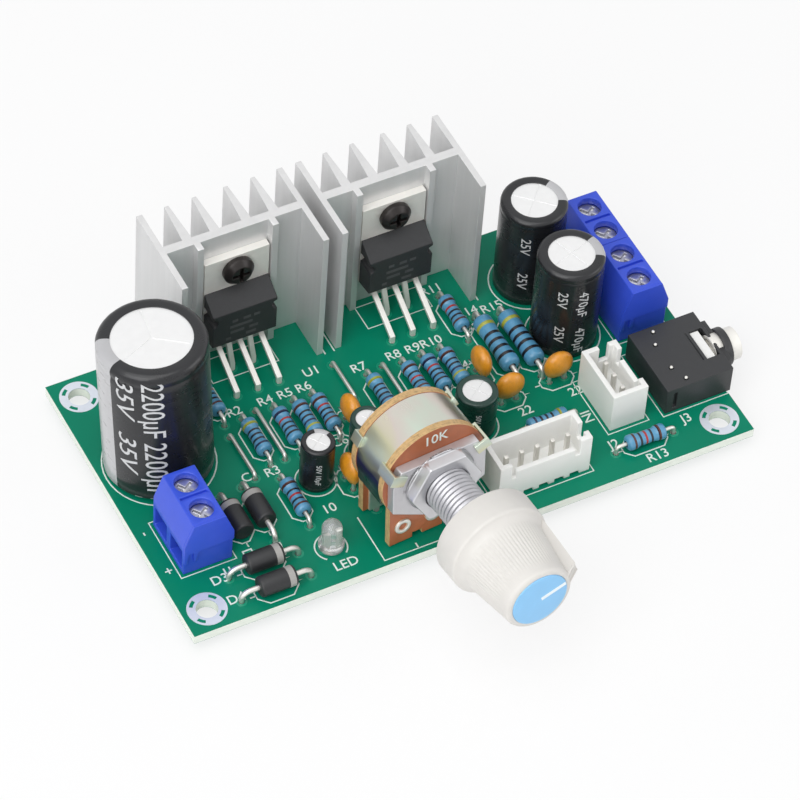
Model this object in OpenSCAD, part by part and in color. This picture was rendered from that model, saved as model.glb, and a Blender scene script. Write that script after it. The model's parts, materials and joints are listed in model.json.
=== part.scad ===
/* [Circuit board] */
// Length of the board along its front edge
board_w = 90; // [89.5:0.5:110]
// Depth of the board from front to back
board_d = 50; // [48:0.5:60]
// Thickness of the board
board_t = 1.6; // [1.2:0.1:2.4]
// Distance of each mounting hole from its two edges
hole_inset = 3.7; // [3.4:0.1:4]
// Radius of the mounting holes
hole_r = 1.6; // [1.1:0.05:1.75]
// Drop of the solder under connectors and large parts
solder_h = 1.8; // [1.4:0.1:2.4]

/* [Heatsinks] */
// Width of each heatsink
sink_w = 23.2; // [22.4:0.1:24.6]
// Height of each heatsink above the board
sink_h = 25; // [23.5:0.5:40]
// Thickness of the plate that carries the chip
sink_base_t = 1.4; // [1.2:0.1:2.2]
// Thickness of the two outer walls
sink_wall_t = 0.95; // [0.7:0.05:1.4]
// Length of the fins behind the plate
sink_fin_l = 6.85; // [4:0.05:9]
// Length of the walls in front of the plate
sink_front_l = 7.05; // [5:0.05:8]
// Gap between the two heatsinks
sink_gap = 2.1; // [0.6:0.1:4]

/* [Amplifier chips] */
// Width of a chip
chip_w = 10.3; // [9.6:0.1:10.6]
// Thickness of the metal tab
tab_t = 1.2; // [0.8:0.05:1.5]
// Height of the top of the tab above the board
tab_top = 20.95; // [20.55:0.05:22.5]
// Distance of the screw below the top of the tab
tab_hole_drop = 2.75; // [2.5:0.05:3.1]
// Height of the underside of the black case above the board
case_bottom = 5.8; // [5.2:0.1:6.1]
// Height of the black case
case_h = 9; // [8.4:0.1:9.2]
// Thickness of the black case in front of the tab
case_t = 3.2; // [2.6:0.1:3.6]
// Distance between neighbouring leads of one row
chip_pitch = 3.4; // [2.8:0.1:3.6]

/* [Electrolytic capacitors] */
// Radius of the filter capacitor
filter_r = 8; // [6.5:0.1:8.2]
// Height of the top of the filter capacitor above the board
filter_h = 26; // [20:0.5:40]
// Lean of the filter capacitor to the back
filter_lean_back = 3; // [0:0.5:3]
// Lean of the filter capacitor to the left
filter_lean_left = 1.9; // [0:0.1:2]
// Radius of the two output capacitors
output_r = 5; // [4:0.1:5.1]
// Height of the output capacitors
output_h = 17.8; // [12:0.2:25]
// Radius of the bypass capacitor
bypass_r = 2.5; // [2:0.1:2.6]
// Height of the bypass capacitor
bypass_h = 8.7; // [6:0.1:12]
// Radius of the coupling capacitor beside the volume control
coupling_r = 3.1; // [2.5:0.1:3.2]
// Height of the two coupling capacitors
coupling_h = 8; // [6:0.1:12]

/* [Terminal blocks] */
// Distance between neighbouring ways of a terminal block
way_pitch = 5; // [4.9:0.02:5.08]
// Depth of a terminal block from wire side to back
block_d = 7.7; // [7.6:0.1:8.2]
// Height of a terminal block above the board
block_h = 10.3; // [10.1:0.1:12]
// Width of the flat top of a terminal block
block_top_w = 4.9; // [4.6:0.1:5.6]
// Radius of a clamp screw's head
clamp_head_r = 1.85; // [1.7:0.05:1.9]
// Travel of a wire clamp
clamp_rise = 2; // [1:0.1:2]

/* [Volume control] */
// Height of the shaft's axis above the board
pot_h = 12.4; // [11.6:0.1:16]
// Lean of the volume control to the back
pot_lean = 4; // [0:0.5:5]
// Turn of the volume control to the right
pot_turn = 4; // [0:0.5:5]
// Radius of the wafers
wafer_r = 8.4; // [8.2:0.1:8.6]
// Length of the threaded bushing
bushing_l = 9; // [6:0.1:9.6]
// Radius of the shaft
shaft_r = 3; // [2.5:0.05:3.05]
// Radius of the knob's skirt
knob_skirt_r = 7.7; // [7.4:0.1:9.5]
// Radius of the knob's front end
knob_end_r = 5.3; // [5.2:0.1:6.2]
// Length of the knob
knob_l = 14.7; // [12.5:0.1:18]

/* [Connectors] */
// Height of the pin headers above the board
header_h = 7.3; // [6.6:0.1:8]
// Distance between neighbouring header pins
header_pitch = 2.5; // [2.4:0.02:2.54]
// Height of the jack's body
jack_h = 5; // [4.8:0.1:5.6]
// Radius of the jack's socket
socket_r = 1.8; // [1.6:0.05:1.9]

/* [Small parts] */
// Distance between the leads of a small resistor
resistor_span = 9.5; // [8.5:0.1:10]
// Length of a small resistor's body
resistor_l = 6.3; // [5.5:0.1:6.8]
// Radius of a small resistor's body at its ends
resistor_r = 1.2; // [0.9:0.05:1.25]
// Length of a power resistor's body
power_l = 10; // [8:0.1:10.4]
// Radius of a power resistor's body
power_r = 1.5; // [1.2:0.05:1.55]
// Length of a rectifier diode's body
diode_l = 5.6; // [4.8:0.1:7.6]
// Radius of a rectifier diode's body
diode_r = 1.55; // [1.3:0.05:1.75]
// Radius of a ceramic capacitor
ceramic_r = 2.3; // [1.8:0.05:2.4]
// Thickness of a ceramic capacitor
ceramic_t = 2.6; // [2:0.1:2.7]
// Radius of the lamp's dome
led_r = 1.5; // [1.2:0.05:1.6]
// Height of the lamp
led_h = 5.7; // [4.5:0.1:7]

/* [Hidden] */
$fn = 48;
e = 0.02;
through = 1;
// Gap of a wire in its hole, and of a loose lead in its solder
wire_gap = 0.2;
thin_wire_r = 0.3;
thick_wire_r = 0.4;
elbow_extra = 0.04;
small_solder_h = 1.5;
pad_extra = 0.55;
tip_extra = 0.18;

// Places on the board, from its front left corner
resistor_row_y = 27.95;
resistors = [[20.4, 37.4, 90], [23.2, resistor_row_y, 90], [28.2, resistor_row_y, 90],
    [31.4, resistor_row_y, 90], [34.4, resistor_row_y, 90], [43.4, resistor_row_y, 90],
    [49.1, resistor_row_y, 90], [52.3, resistor_row_y, 90], [55.3, resistor_row_y, 90],
    [60, 37, 90], [23.35, 15.65, 90], [62.8, 13.1, 0], [74.2, 4.4, 0]];
power_span = 13.4;
power_resistors = [[62.8, 29, 90], [66.6, 28.4, 90]];
diode_span = 10.9;
diodes = [[13.85, 15.3, -90], [17.6, 15.8, -90], [14.2, 7.2, 0], [14.1, 2.85, 0]];
jumper_h = 0.8;
jumpers = [[20.1, 26.15, 8.3], [25.6, 28.3, 9.8], [39.7, 32.8, 7.2], [46.2, 28.7, 9]];
ceramic_span = 2.5;
ceramic_lift = 1.2;
ceramics = [[37, 25.4, 90], [32, 15.6, 90], [58.4, 25.6, 90], [60, 19.7, 0], [68.3, 20.3, 0]];
led = [24.4, 6.3];
led_span = 2.5;
filter_cap = [9.1, 30.7];
output_caps = [[73.3, 27.8], [73.3, 39.2]];
bypass_cap = [27.9, 18.1];
coupling_caps = [[53.2, 17.6], [36.5, 19.5]];
coupling_step = 0.6;
coupling_small_r = coupling_r - coupling_step;

// Capacitor build
sleeve_t = 0.2;
sleeve_lip = 0.2;
filter_lift = 0.6;
filter_pin_x = 3.75;
output_pin_x = 2.5;
small_pin_x = 1;
seal_t = 1.4;
can_wall = 0.5;
can_edge = 0.08;
sleeve_wide = 6;
score_w = 0.3;
score_d = 0.12;
filter_score_turn = 82;
output_score_turns = [18, 47];
small_score_turn = 35;

// Heatsink build
sinks_x = 40.5;
sink_face_y = 46.1;
sink_fin_root = 1.5;
sink_fin_tip = 0.7;
sink_fin_x = [2.5, 6.85];
rib_clear = 0.75;
rib_x = chip_w / 2 + rib_clear;
rib_w = 1;
rib_l = 1.4;
sink_dx = (sink_w + sink_gap) / 2;
sink_xs = [sinks_x - sink_dx, sinks_x + sink_dx];

// Chip build
screw_r = 1.45;
screw_head_r = 2.4;
screw_head_h = 1.6;
screw_past = 0.6;
screw_l = tab_t + sink_base_t + screw_past;
tap_r = 1.5;
lead_w = 0.8;
lead_t = 0.5;
lead_step = 1.1;
lead_back = tab_t + lead_step;
front_row = 9.2;
rear_row = 4.1;
front_bend = 1.3;
lead_knee = 0.7;
tab_hole_z = tab_top - tab_hole_drop;

// Terminal block build, with depth measured from the wire side
block_shoulder = 6.4;
block_left = [3.25, 10.5];
block_inset = 2.3;
block_right_y = 22.9;
block_seam = 0.04;
block_screw_d = block_d / 2;
well_gap = 0.15;
well_lip = 0.1;
well_r = clamp_head_r + well_gap;
well_lip_r = clamp_head_r - well_lip;
clamp_head_top = 8.8;
clamp_head_h = 1;
clamp_head_z = clamp_head_top - clamp_head_h;
lip_gap = 0.2;
lip_z = clamp_head_top + lip_gap;
shank_r = 1.45;
shank_bore_r = 1.6;
cage_l = 4.2;
cage_w = 3.9;
cage_wall = 0.5;
cage_floor = 0.6;
cage_low = 0.6;
cage_high = 5.5;
cage_gap = 0.1;
cage_hole_r = 1.55;
bar_bottom = 4;
bar_top = 4.8;
bar_w = 2.8;
bar_front = 1.95;
leg_inset = 1.4;
leg_d = block_d - leg_inset;
leg_t = 0.6;
pin_w = 0.9;
ceiling_z = cage_high + clamp_rise + cage_gap;
entry_w = 3.8;
entry_low = 0.8;
entry_high = 4.6;
block_floor = 0.5;
groove_w = 0.5;
groove_l = 4.2;
groove_h = 0.6;
clamp_slot_w = 0.5;
clamp_slot_h = 0.6;
clamp_rim = 0.4;

// Volume control build, with depth measured back from its front plate
pot_place = [38.85, 2.3];
plate_t = 1.6;
wafer_t = 1.2;
cover_l = 6.1;
cover_t = 0.4;
cover_inset = 0.1;
cover_r = wafer_r - cover_inset;
cover_drop = 3.6;
plate_top = 4.3;
plate_top_x = 6.3;
plate_inset = 0.8;
plate_side_x = wafer_r - plate_inset;
plate_side_top = 1.8;
plate_side_low = -3.4;
plate_drop = 6.2;
plate_foot_x = 2.6;
flat_side = 0.3;
tongue_x = 7.1;
tongue_gap = 0.3;
tongue_notch_x = 2.5;
tongue_notch_w = 1.6;
tongue_notch_h = 0.9;
bushing_r = 3.5;
shaft_gap = 0.05;
washer_r = 5.5;
washer_t = 0.3;
nut_flats = 10;
nut_t = 1.9;
thread_gap = 0.02;
front_wafer_y = plate_t;
cover_y = front_wafer_y + wafer_t;
rear_wafer_y = cover_y + cover_l;
front_drop = pot_h - tongue_gap - cover_y * sin(pot_lean);
rear_drop = pot_h - tongue_gap - (rear_wafer_y + wafer_t) * sin(pot_lean);
wafer_clear = 0.4;
wafer_hole_r = shaft_r + wafer_clear;
journal_r = 1.5;
journal_gap = 0.1;
rotor_r = 6.2;
rotor_t = 1.5;
rotor_y = cover_y + (cover_l - rotor_t) / 2;
wiper_t = 0.2;
wiper_gap = 0.12;
wiper_r = 5;
wiper_w = 0.8;
terminal_pitch = 5;
terminal_t = 0.4;
terminal_w = 2.4;
terminal_gap = 0.8;
terminal_top = wiper_r + terminal_gap;
rivet_z = 8.6;
rivet_r = 0.7;
rivet_head_r = 1.3;
rivet_head_t = 0.3;
pot_pin_w = 1;
pot_hole_r = 0.85;
pot_tab_angle = 25;
pot_tab_w = 1.8;
pot_tab_reach = 2;
knob_gap = 2.4;
knob_back = bushing_l + knob_gap;
knob_front = knob_back + knob_l;
skirt_l = 4.6;
skirt_fall = 1.3;
skirt_taper = 0.1;
knob_wall = 1.3;
hub_wall = 1.4;
knob_hub_r = shaft_r + hub_wall;
knob_face_t = 3.2;
knob_edge = 0.6;
ridge_w = 1.6;
ridge_back_r = 7.2;
ridge_front_r = 6.7;
ridge_bevel = 1.3;
ridge_root = 0.7;
shaft_end = knob_front - knob_face_t;
shaft_slot_w = 1;
shaft_slot_l = 6;
cap_rim = 0.95;
cap_r = knob_end_r - cap_rim;
cap_t = 0.9;
cap_proud = 0.15;
pointer_angle = 74;
pointer_w = 0.6;
pointer_d = 0.15;

// Header build
header_d = 5.75;
header_wall = 0.8;
header_end = 2.45;
header_floor = 2;
header_slot_w = 0.8;
header_slot_h = 3;
header_notch_h = 1.6;
header_foot_w = 1.5;
header_foot_h = 0.65;
header_post = 2.3;
pin_side = 0.64;
pin_top = 6;
volume_header = [49.6, 3.4];
volume_pins = 5;
input_header = [76.4, 8.4];
input_pins = 3;

// Jack build, measured from the board's right edge and the jack's front
jack_y = 7.9;
jack_back = 10.5;
jack_over = 0.5;
jack_w = 12;
jack_axis_y = jack_w / 2;
jack_axis_z = 2.55;
jack_wall = 1;
jack_floor = 0.8;
collar_l = 0.9;
collar_w = 8.2;
collar_step = 0.4;
nose_r = 3;
nose_l = 1.2;
ring_wall = 0.7;
ring_r = socket_r + ring_wall;
ring_proud = 1.7;
window_w = 2.1;
window_l = 5.6;
window_d = 0.35;
jack_hole = 0.6;
jack_holes = [[3.6, 10.9], [2.7, 8.6], [2.7, 3.8], [3.7, 1.2]];
jack_slot_x = 1.2;
contact_t = 0.4;
contact_w = 2;
contact_h = 2.6;
contact_xs = [2, 6.5];
jack_end = jack_back + jack_over;
cavity_w = jack_w - 2 * jack_wall;

// Front left corner of the board as the zero of the places above
function place(p) = [p.x - board_w / 2, p.y - board_d / 2, board_t];
function ends(p, span) = [for (s = [-1, 1])
    [p.x + s * span / 2 * cos(p.z), p.y + s * span / 2 * sin(p.z)]];
function pair(p, dx) = [for (s = [-1, 1]) [p.x + s * dx, p.y]];

// Point of the volume control's own frame as a point over the board
function pot_point(p) = let (
    y = p.y * cos(pot_lean) + p.z * sin(pot_lean),
    z = p.z * cos(pot_lean) - p.y * sin(pot_lean))
    [pot_place.x + p.x * cos(pot_turn) - y * sin(pot_turn),
     pot_place.y + p.x * sin(pot_turn) + y * cos(pot_turn), pot_h + z];

// Terminal blocks as front left corner and side of the wire entries
block_right_x = board_w - block_inset - block_d;
blocks = [[block_left.x, block_left.y, -1],
    [block_right_x, block_right_y, 1],
    [block_right_x, block_right_y + 2 * way_pitch + block_seam, 1]];
function block_depth(b, d) = b.z < 0 ? b.x + d : b.x + block_d - d;
function block_points(d) = [for (b = blocks, i = [0.5, 1.5])
    [block_depth(b, d), b.y + i * way_pitch]];

// Every lead that goes through the board, as places
resistor_holes = [for (r = resistors) each ends(r, resistor_span)];
jumper_holes = [for (j = jumpers) each ends([j.x, j.y, 90], j.z)];
ceramic_holes = [for (c = ceramics) each ends(c, ceramic_span)];
led_holes = pair(led, led_span / 2);
small_cap_holes = [for (c = concat([bypass_cap], coupling_caps)) each pair(c, small_pin_x)];
power_holes = [for (r = power_resistors) each ends(r, power_span)];
diode_holes = [for (d = diodes) each ends(d, diode_span)];
filter_holes = pair(filter_cap, filter_pin_x);
output_holes = [for (c = output_caps) each pair(c, output_pin_x)];
chip_holes = [for (x = sink_xs) each concat(
    [for (i = [-1:1]) [x + i * chip_pitch, sink_face_y - front_row]],
    [for (i = [-0.5, 0.5]) [x + i * chip_pitch, sink_face_y - rear_row]])];
block_holes = block_points(leg_d + leg_t / 2);
header_holes = concat(
    [for (i = [0:volume_pins - 1])
        [volume_header.x + header_end + i * header_pitch, volume_header.y + header_d / 2]],
    [for (i = [0:input_pins - 1])
        [input_header.x - header_d / 2, input_header.y + header_end + i * header_pitch]]);
jack_x = board_w - jack_back;
contact_ys = [jack_wall + e, jack_w - jack_wall - contact_t - e];
jack_holes_board = [for (x = contact_xs, y = contact_ys)
    [jack_x + x + contact_w / 2, jack_y + y + contact_t / 2]];
pot_pin_ys = [cover_y + terminal_t / 2, rear_wafer_y - terminal_t / 2];
pot_holes = [for (y = pot_pin_ys, i = [-1:1])
    pot_point([i * terminal_pitch, y, -pot_h - board_t / 2])];

thin_holes = concat(resistor_holes, jumper_holes, ceramic_holes, led_holes, small_cap_holes);
thick_holes = concat(power_holes, diode_holes);
square_r = pin_side / sqrt(2);
lead_r = norm([lead_w, lead_t]) / 2;
leg_r = norm([pin_w, leg_t]) / 2;
contact_r = norm([pin_w, contact_t]) / 2;

// Children moved to a place on top of the board
module on_board(p, turn = 0) {
    translate(place(p)) rotate([0, 0, turn]) children();
}

// Children of the volume control's own frame moved to their place
module on_pot() {
    on_board(pot_place) translate([0, 0, pot_h]) rotate([-pot_lean, 0, pot_turn]) children();
}

// Flat shape of width and height made a plate of thickness t behind depth y
module plate(y, t) {
    translate([0, y + t, 0]) rotate([90, 0, 0]) linear_extrude(t) children();
}

// Solid of revolution about the volume control's shaft
module turned() {
    rotate([90, 0, 0]) rotate_extrude() children();
}

// Box centred in x and y that stands on its base
module post(size) {
    translate([-size.x / 2, -size.y / 2, 0]) cube(size);
}

// Holes through the board for a list of leads
module drill(holes, r) {
    for (h = holes)
        translate([place(h).x, place(h).y, -through]) cylinder(r = r, h = board_t + 2 * through);
}

module circuit_board() {
    color("seagreen") difference() {
        translate([-board_w / 2, -board_d / 2, 0]) cube([board_w, board_d, board_t]);
        for (x = [-1, 1], y = [-1, 1])
            translate([x * (board_w / 2 - hole_inset), y * (board_d / 2 - hole_inset), -through])
                cylinder(r = hole_r, h = board_t + 2 * through);
        drill(thin_holes, thin_wire_r + wire_gap);
        drill(thick_holes, thick_wire_r + wire_gap);
        drill(concat(filter_holes, output_holes), thick_wire_r + wire_gap);
        drill(chip_holes, lead_r + e);
        drill(block_holes, leg_r + e);
        drill(header_holes, square_r + e);
        drill(jack_holes_board, contact_r + e);
        drill(pot_holes, pot_hole_r);
    }
}

// Solder cones around a list of leads
module solder(holes, r, h) {
    for (p = holes)
        translate([place(p).x, place(p).y, -h]) difference() {
            cylinder(r1 = r + tip_extra, r2 = r + pad_extra, h = h);
            translate([0, 0, -through]) cylinder(r = r, h = h + 2 * through);
        }
}

module solder_joints() {
    color("silver") {
        solder(concat(filter_holes, output_holes), thick_wire_r + wire_gap, solder_h);
        solder(chip_holes, lead_r + e, solder_h);
        solder(block_holes, leg_r + e, solder_h);
        solder(header_holes, square_r + e, solder_h);
        solder(jack_holes_board, contact_r + e, solder_h);
        solder(pot_holes, pot_hole_r, solder_h);
    }
}

module small_solder_joints() {
    color("silver") {
        solder(thin_holes, thin_wire_r + e, small_solder_h);
        solder(thick_holes, thick_wire_r + e, small_solder_h);
    }
}

// Aluminium extrusion with its plate's front face at y = 0
module heatsink() {
    difference() {
        linear_extrude(sink_h) {
            translate([-sink_w / 2 + e, 0]) square([sink_w - 2 * e, sink_base_t]);
            for (s = [-1, 1]) {
                translate([s * (sink_w - sink_wall_t) / 2 - sink_wall_t / 2, -sink_front_l])
                    square([sink_wall_t, sink_front_l + sink_base_t + sink_fin_l]);
                translate([s * rib_x - rib_w / 2, -rib_l]) square([rib_w, rib_l + e]);
                for (x = sink_fin_x)
                    translate([s * x, sink_base_t - e]) polygon([
                        [-sink_fin_root / 2, 0], [sink_fin_root / 2, 0],
                        [sink_fin_tip / 2, sink_fin_l + e], [-sink_fin_tip / 2, sink_fin_l + e]]);
            }
        }
        translate([0, -through, tab_hole_z]) rotate([-90, 0, 0])
            cylinder(r = tap_r, h = sink_base_t + 2 * through);
    }
}

module heatsink_left() {
    color("gainsboro") on_board([sink_xs[0], sink_face_y]) heatsink();
}

module heatsink_right() {
    color("gainsboro") on_board([sink_xs[1], sink_face_y]) heatsink();
}

// Black moulding of a chip, in front of its tab
module amplifier_case() {
    bevel = 1;
    notch_r = 0.8;
    difference() {
        translate([chip_w / 2, 0, case_bottom]) rotate([90, 0, -90]) linear_extrude(chip_w)
            polygon([[tab_t, 0], [tab_t + case_t, bevel / 2], [tab_t + case_t, case_h - 2 * bevel],
                [tab_t, case_h]]);
        for (s = [-1, 1])
            translate([s * chip_w / 2, through, case_bottom + case_h * 0.62]) rotate([90, 0, 0])
                cylinder(r = notch_r, h = tab_t + case_t + 2 * through);
    }
}

// One lead, bent forward by step and then straight down through the board
module chip_lead(step) {
    knee = step > front_row / 2 ? case_bottom - front_bend : case_bottom - lead_knee;
    top = lead_back;
    foot = -board_t - solder_h;
    translate([lead_w / 2, 0, 0]) rotate([90, 0, -90]) linear_extrude(lead_w) polygon([
        [top - lead_t / 2, case_bottom], [top - lead_t / 2, knee],
        [step - lead_t / 2, lead_knee], [step - lead_t / 2, foot],
        [step + lead_t / 2, foot], [step + lead_t / 2, lead_knee + lead_t],
        [top + lead_t / 2, knee + lead_t / 2], [top + lead_t / 2, case_bottom]]);
}

// Metal tab with its screw hole, and the five leads
module amplifier_frame() {
    difference() {
        translate([-chip_w / 2, -tab_t, case_bottom]) cube([chip_w, tab_t, tab_top - case_bottom]);
        translate([0, through, tab_hole_z]) rotate([90, 0, 0])
            cylinder(r = screw_r + wire_gap, h = tab_t + 2 * through);
    }
    for (i = [-1:1]) translate([i * chip_pitch, 0, 0]) chip_lead(front_row);
    for (i = [-0.5, 0.5]) translate([i * chip_pitch, 0, 0]) chip_lead(rear_row);
}

module amplifier_case_left() {
    color("dimgray") on_board([sink_xs[0], sink_face_y]) amplifier_case();
}

module amplifier_case_right() {
    color("dimgray") on_board([sink_xs[1], sink_face_y]) amplifier_case();
}

module amplifier_frame_left() {
    color("silver") on_board([sink_xs[0], sink_face_y]) amplifier_frame();
}

module amplifier_frame_right() {
    color("silver") on_board([sink_xs[1], sink_face_y]) amplifier_frame();
}

// Pan head screws with a cross recess
module heatsink_screws() {
    recess_l = 2.8;
    recess_w = 0.6;
    recess_d = 1.1;
    head_edge = 0.8;
    color("darkslategray") for (x = sink_xs) on_board([x, sink_face_y])
        translate([0, -tab_t, tab_hole_z]) difference() {
            union() {
                rotate([90, 0, 0]) rotate_extrude() polygon([[0, 0], [screw_head_r, 0],
                    [screw_head_r, screw_head_h - head_edge],
                    [screw_head_r - head_edge, screw_head_h], [0, screw_head_h]]);
                rotate([-90, 0, 0]) cylinder(r = screw_r, h = screw_l);
            }
            for (a = [0, 90])
                rotate([0, a, 0]) translate([-recess_l / 2, -screw_head_h - through, -recess_w / 2])
                    cube([recess_l, recess_d + through, recess_w]);
        }
}

// Aluminium can of a capacitor inside its sleeve, with a scored top
module can(r, h, lift, scores, first) {
    inner = r - sleeve_t;
    top = h - sleeve_lip;
    edge = r * can_edge;
    difference() {
        rotate_extrude() polygon([[0, lift + seal_t], [inner - can_wall, lift + seal_t],
            [inner - can_wall, lift], [inner, lift], [inner, top - edge], [inner - edge, top],
            [0, top]]);
        for (i = [0:scores - 1])
            rotate([0, 0, first + i * 360 / scores])
                translate([0, -score_w / 2, top - score_d])
                    cube([inner * 0.7, score_w, score_d + through]);
    }
}

// Printed sleeve shrunk over the can, with a lip over the edge of its top
module sleeve(r, h, lift) {
    inner = r - sleeve_t + e;
    top = h - sleeve_lip + e;
    edge = r * can_edge;
    lip_r = r * (r > sleeve_wide ? 0.745 : 0.69);
    rotate_extrude() polygon([[inner, lift], [r, lift], [r, h - edge], [r - edge, h], [lip_r, h],
        [lip_r, top], [inner - edge, top], [inner, top - edge]]);
}

// Rubber seal in the foot of a can
module seal(r, lift, pin_x, pin_r) {
    difference() {
        translate([0, 0, lift]) cylinder(r = r - sleeve_t - can_wall - e, h = seal_t - e);
        for (s = [-1, 1])
            translate([s * pin_x, 0, 0]) cylinder(r = pin_r + e, h = lift + seal_t + through);
    }
}

// Two straight leads of a capacitor
module cap_leads(lift, pin_x, pin_r, tip) {
    for (s = [-1, 1])
        translate([s * pin_x, 0, -board_t - tip])
            cylinder(r = pin_r, h = board_t + tip + lift + seal_t - 2 * e);
}

// Filter capacitor's own frame, leaning about the middle of the board's thickness
module on_filter() {
    on_board(filter_cap) translate([0, 0, -board_t / 2])
        rotate([-filter_lean_back, -filter_lean_left, 0]) translate([0, 0, board_t / 2]) children();
}

filter_scores = 3;
output_scores = 4;

module filter_capacitor_can() {
    color("whitesmoke") on_filter()
        can(filter_r, filter_h, filter_lift, filter_scores, filter_score_turn);
}

module filter_capacitor_sleeve() {
    color("dimgray") on_filter() sleeve(filter_r, filter_h, filter_lift);
}

module output_capacitor_cans() {
    color("whitesmoke") for (i = [0, 1])
        on_board(output_caps[i]) can(output_r, output_h, e, output_scores, output_score_turns[i]);
}

module output_capacitor_sleeves() {
    color("dimgray") for (p = output_caps) on_board(p) sleeve(output_r, output_h, e);
}

module small_capacitor_cans() {
    color("whitesmoke") {
        on_board(bypass_cap) can(bypass_r, bypass_h, e, output_scores, small_score_turn);
        on_board(coupling_caps[0]) can(coupling_r, coupling_h, e, output_scores, small_score_turn);
        on_board(coupling_caps[1])
            can(coupling_small_r, coupling_h, e, output_scores, small_score_turn);
    }
}

module bypass_capacitor_sleeve() {
    color("dimgray") on_board(bypass_cap) sleeve(bypass_r, bypass_h, e);
}

module coupling_capacitor_sleeves() {
    color("darkslategray") {
        on_board(coupling_caps[0]) sleeve(coupling_r, coupling_h, e);
        on_board(coupling_caps[1]) sleeve(coupling_small_r, coupling_h, e);
    }
}

module capacitor_seals() {
    color("dimgray") {
        on_filter() seal(filter_r, filter_lift, filter_pin_x, thick_wire_r);
        for (p = output_caps) on_board(p) seal(output_r, e, output_pin_x, thick_wire_r);
        on_board(bypass_cap) seal(bypass_r, e, small_pin_x, thin_wire_r);
        on_board(coupling_caps[0]) seal(coupling_r, e, small_pin_x, thin_wire_r);
        on_board(coupling_caps[1]) seal(coupling_small_r, e, small_pin_x, thin_wire_r);
    }
}

module capacitor_leads() {
    lean_reach = (filter_pin_x + board_t) * sin(filter_lean_left);
    color("silver") {
        on_filter() cap_leads(filter_lift, filter_pin_x, thick_wire_r, solder_h - lean_reach);
        for (p = output_caps) on_board(p) cap_leads(e, output_pin_x, thick_wire_r, solder_h);
        for (p = concat([bypass_cap], coupling_caps))
            on_board(p) cap_leads(e, small_pin_x, thin_wire_r, small_solder_h);
    }
}

// Wire from x = start along its part, then down through the board at x = half
module bent_wire(start, half, z, r, tip) {
    for (s = [0, 180]) rotate([0, 0, s]) {
        translate([start, 0, z]) rotate([0, 90, 0]) cylinder(r = r, h = half - start);
        translate([half, 0, z]) sphere(r = r + elbow_extra);
        translate([half, 0, -board_t - tip]) cylinder(r = r, h = z + board_t + tip);
    }
}

// Body with two swollen ends, lying along x
module bone(l, r, waist, cap_l) {
    rotate([0, 90, 0]) translate([0, 0, -l / 2]) rotate_extrude() polygon([[0, 0], [r * 0.72, 0],
        [r, cap_l * 0.35], [r, cap_l], [waist, cap_l * 1.35], [waist, l - cap_l * 1.35],
        [r, l - cap_l], [r, l - cap_l * 0.35], [r * 0.72, l], [0, l]]);
}

resistor_waist = resistor_r * 0.84;
resistor_cap_l = resistor_l * 0.25;
resistor_rise = 0.1;
resistor_z = resistor_r + resistor_rise;
power_rise = 0.2;
power_z = power_r + power_rise;
power_waist = power_r * 0.93;
power_cap_l = power_l * 0.2;
diode_z = diode_r + power_rise;
diode_edge = 0.4;

module resistors() {
    color("skyblue") for (p = resistors)
        on_board(p, p.z) translate([0, 0, resistor_z])
            bone(resistor_l, resistor_r, resistor_waist, resistor_cap_l);
}

module resistor_leads() {
    color("silver") for (p = resistors) on_board(p, p.z)
        bent_wire(resistor_l / 2, resistor_span / 2, resistor_z, thin_wire_r, small_solder_h);
}

module power_resistors() {
    color("skyblue") for (p = power_resistors)
        on_board(p, p.z) translate([0, 0, power_z]) bone(power_l, power_r, power_waist, power_cap_l);
}

module power_resistor_leads() {
    color("silver") for (p = power_resistors) on_board(p, p.z)
        bent_wire(power_l / 2, power_span / 2, power_z, thick_wire_r, small_solder_h);
}

module rectifier_diodes() {
    edge = diode_edge;
    color("dimgray") for (p = diodes) on_board(p, p.z)
        translate([-diode_l / 2, 0, diode_z]) rotate([0, 90, 0]) rotate_extrude() polygon([[0, 0],
            [diode_r - edge, 0], [diode_r, edge], [diode_r, diode_l - edge],
            [diode_r - edge, diode_l], [0, diode_l]]);
}

module diode_leads() {
    color("silver") for (p = diodes) on_board(p, p.z)
        bent_wire(diode_l / 2, diode_span / 2, diode_z, thick_wire_r, small_solder_h);
}

module jumper_wires() {
    color("silver") for (j = jumpers) on_board(j, 90)
        bent_wire(-e, j.z / 2, jumper_h, thin_wire_r, small_solder_h);
}

module ceramic_capacitors() {
    edge = ceramic_t / 2;
    color("orange") for (p = ceramics) on_board(p, p.z)
        translate([0, 0, ceramic_lift + ceramic_r]) rotate([90, 0, 0]) rotate_extrude() {
            translate([0, -edge]) square([ceramic_r - edge, ceramic_t]);
            intersection() {
                translate([ceramic_r - edge, 0]) circle(edge);
                translate([ceramic_r - edge - e, -edge]) square([edge + 2 * e, ceramic_t]);
            }
        }
}

// Straight legs that reach up to the round underside of each ceramic capacitor
module ceramic_leads() {
    half = ceramic_span / 2;
    top = ceramic_lift + ceramic_r - sqrt(pow(ceramic_r, 2) - pow(half + thin_wire_r, 2));
    color("silver") for (p = ceramics) on_board(p, p.z)
        for (s = [-1, 1])
            difference() {
                translate([s * half, 0, -board_t - small_solder_h])
                    cylinder(r = thin_wire_r, h = board_t + small_solder_h + top);
                translate([0, 0, ceramic_lift + ceramic_r]) rotate([90, 0, 0])
                    cylinder(r = ceramic_r + e, h = ceramic_t, center = true);
            }
}

led_flange_w = 0.4;
led_flange_r = led_r + led_flange_w;
led_flange_h = 1;
led_lift = 0.3;

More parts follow.
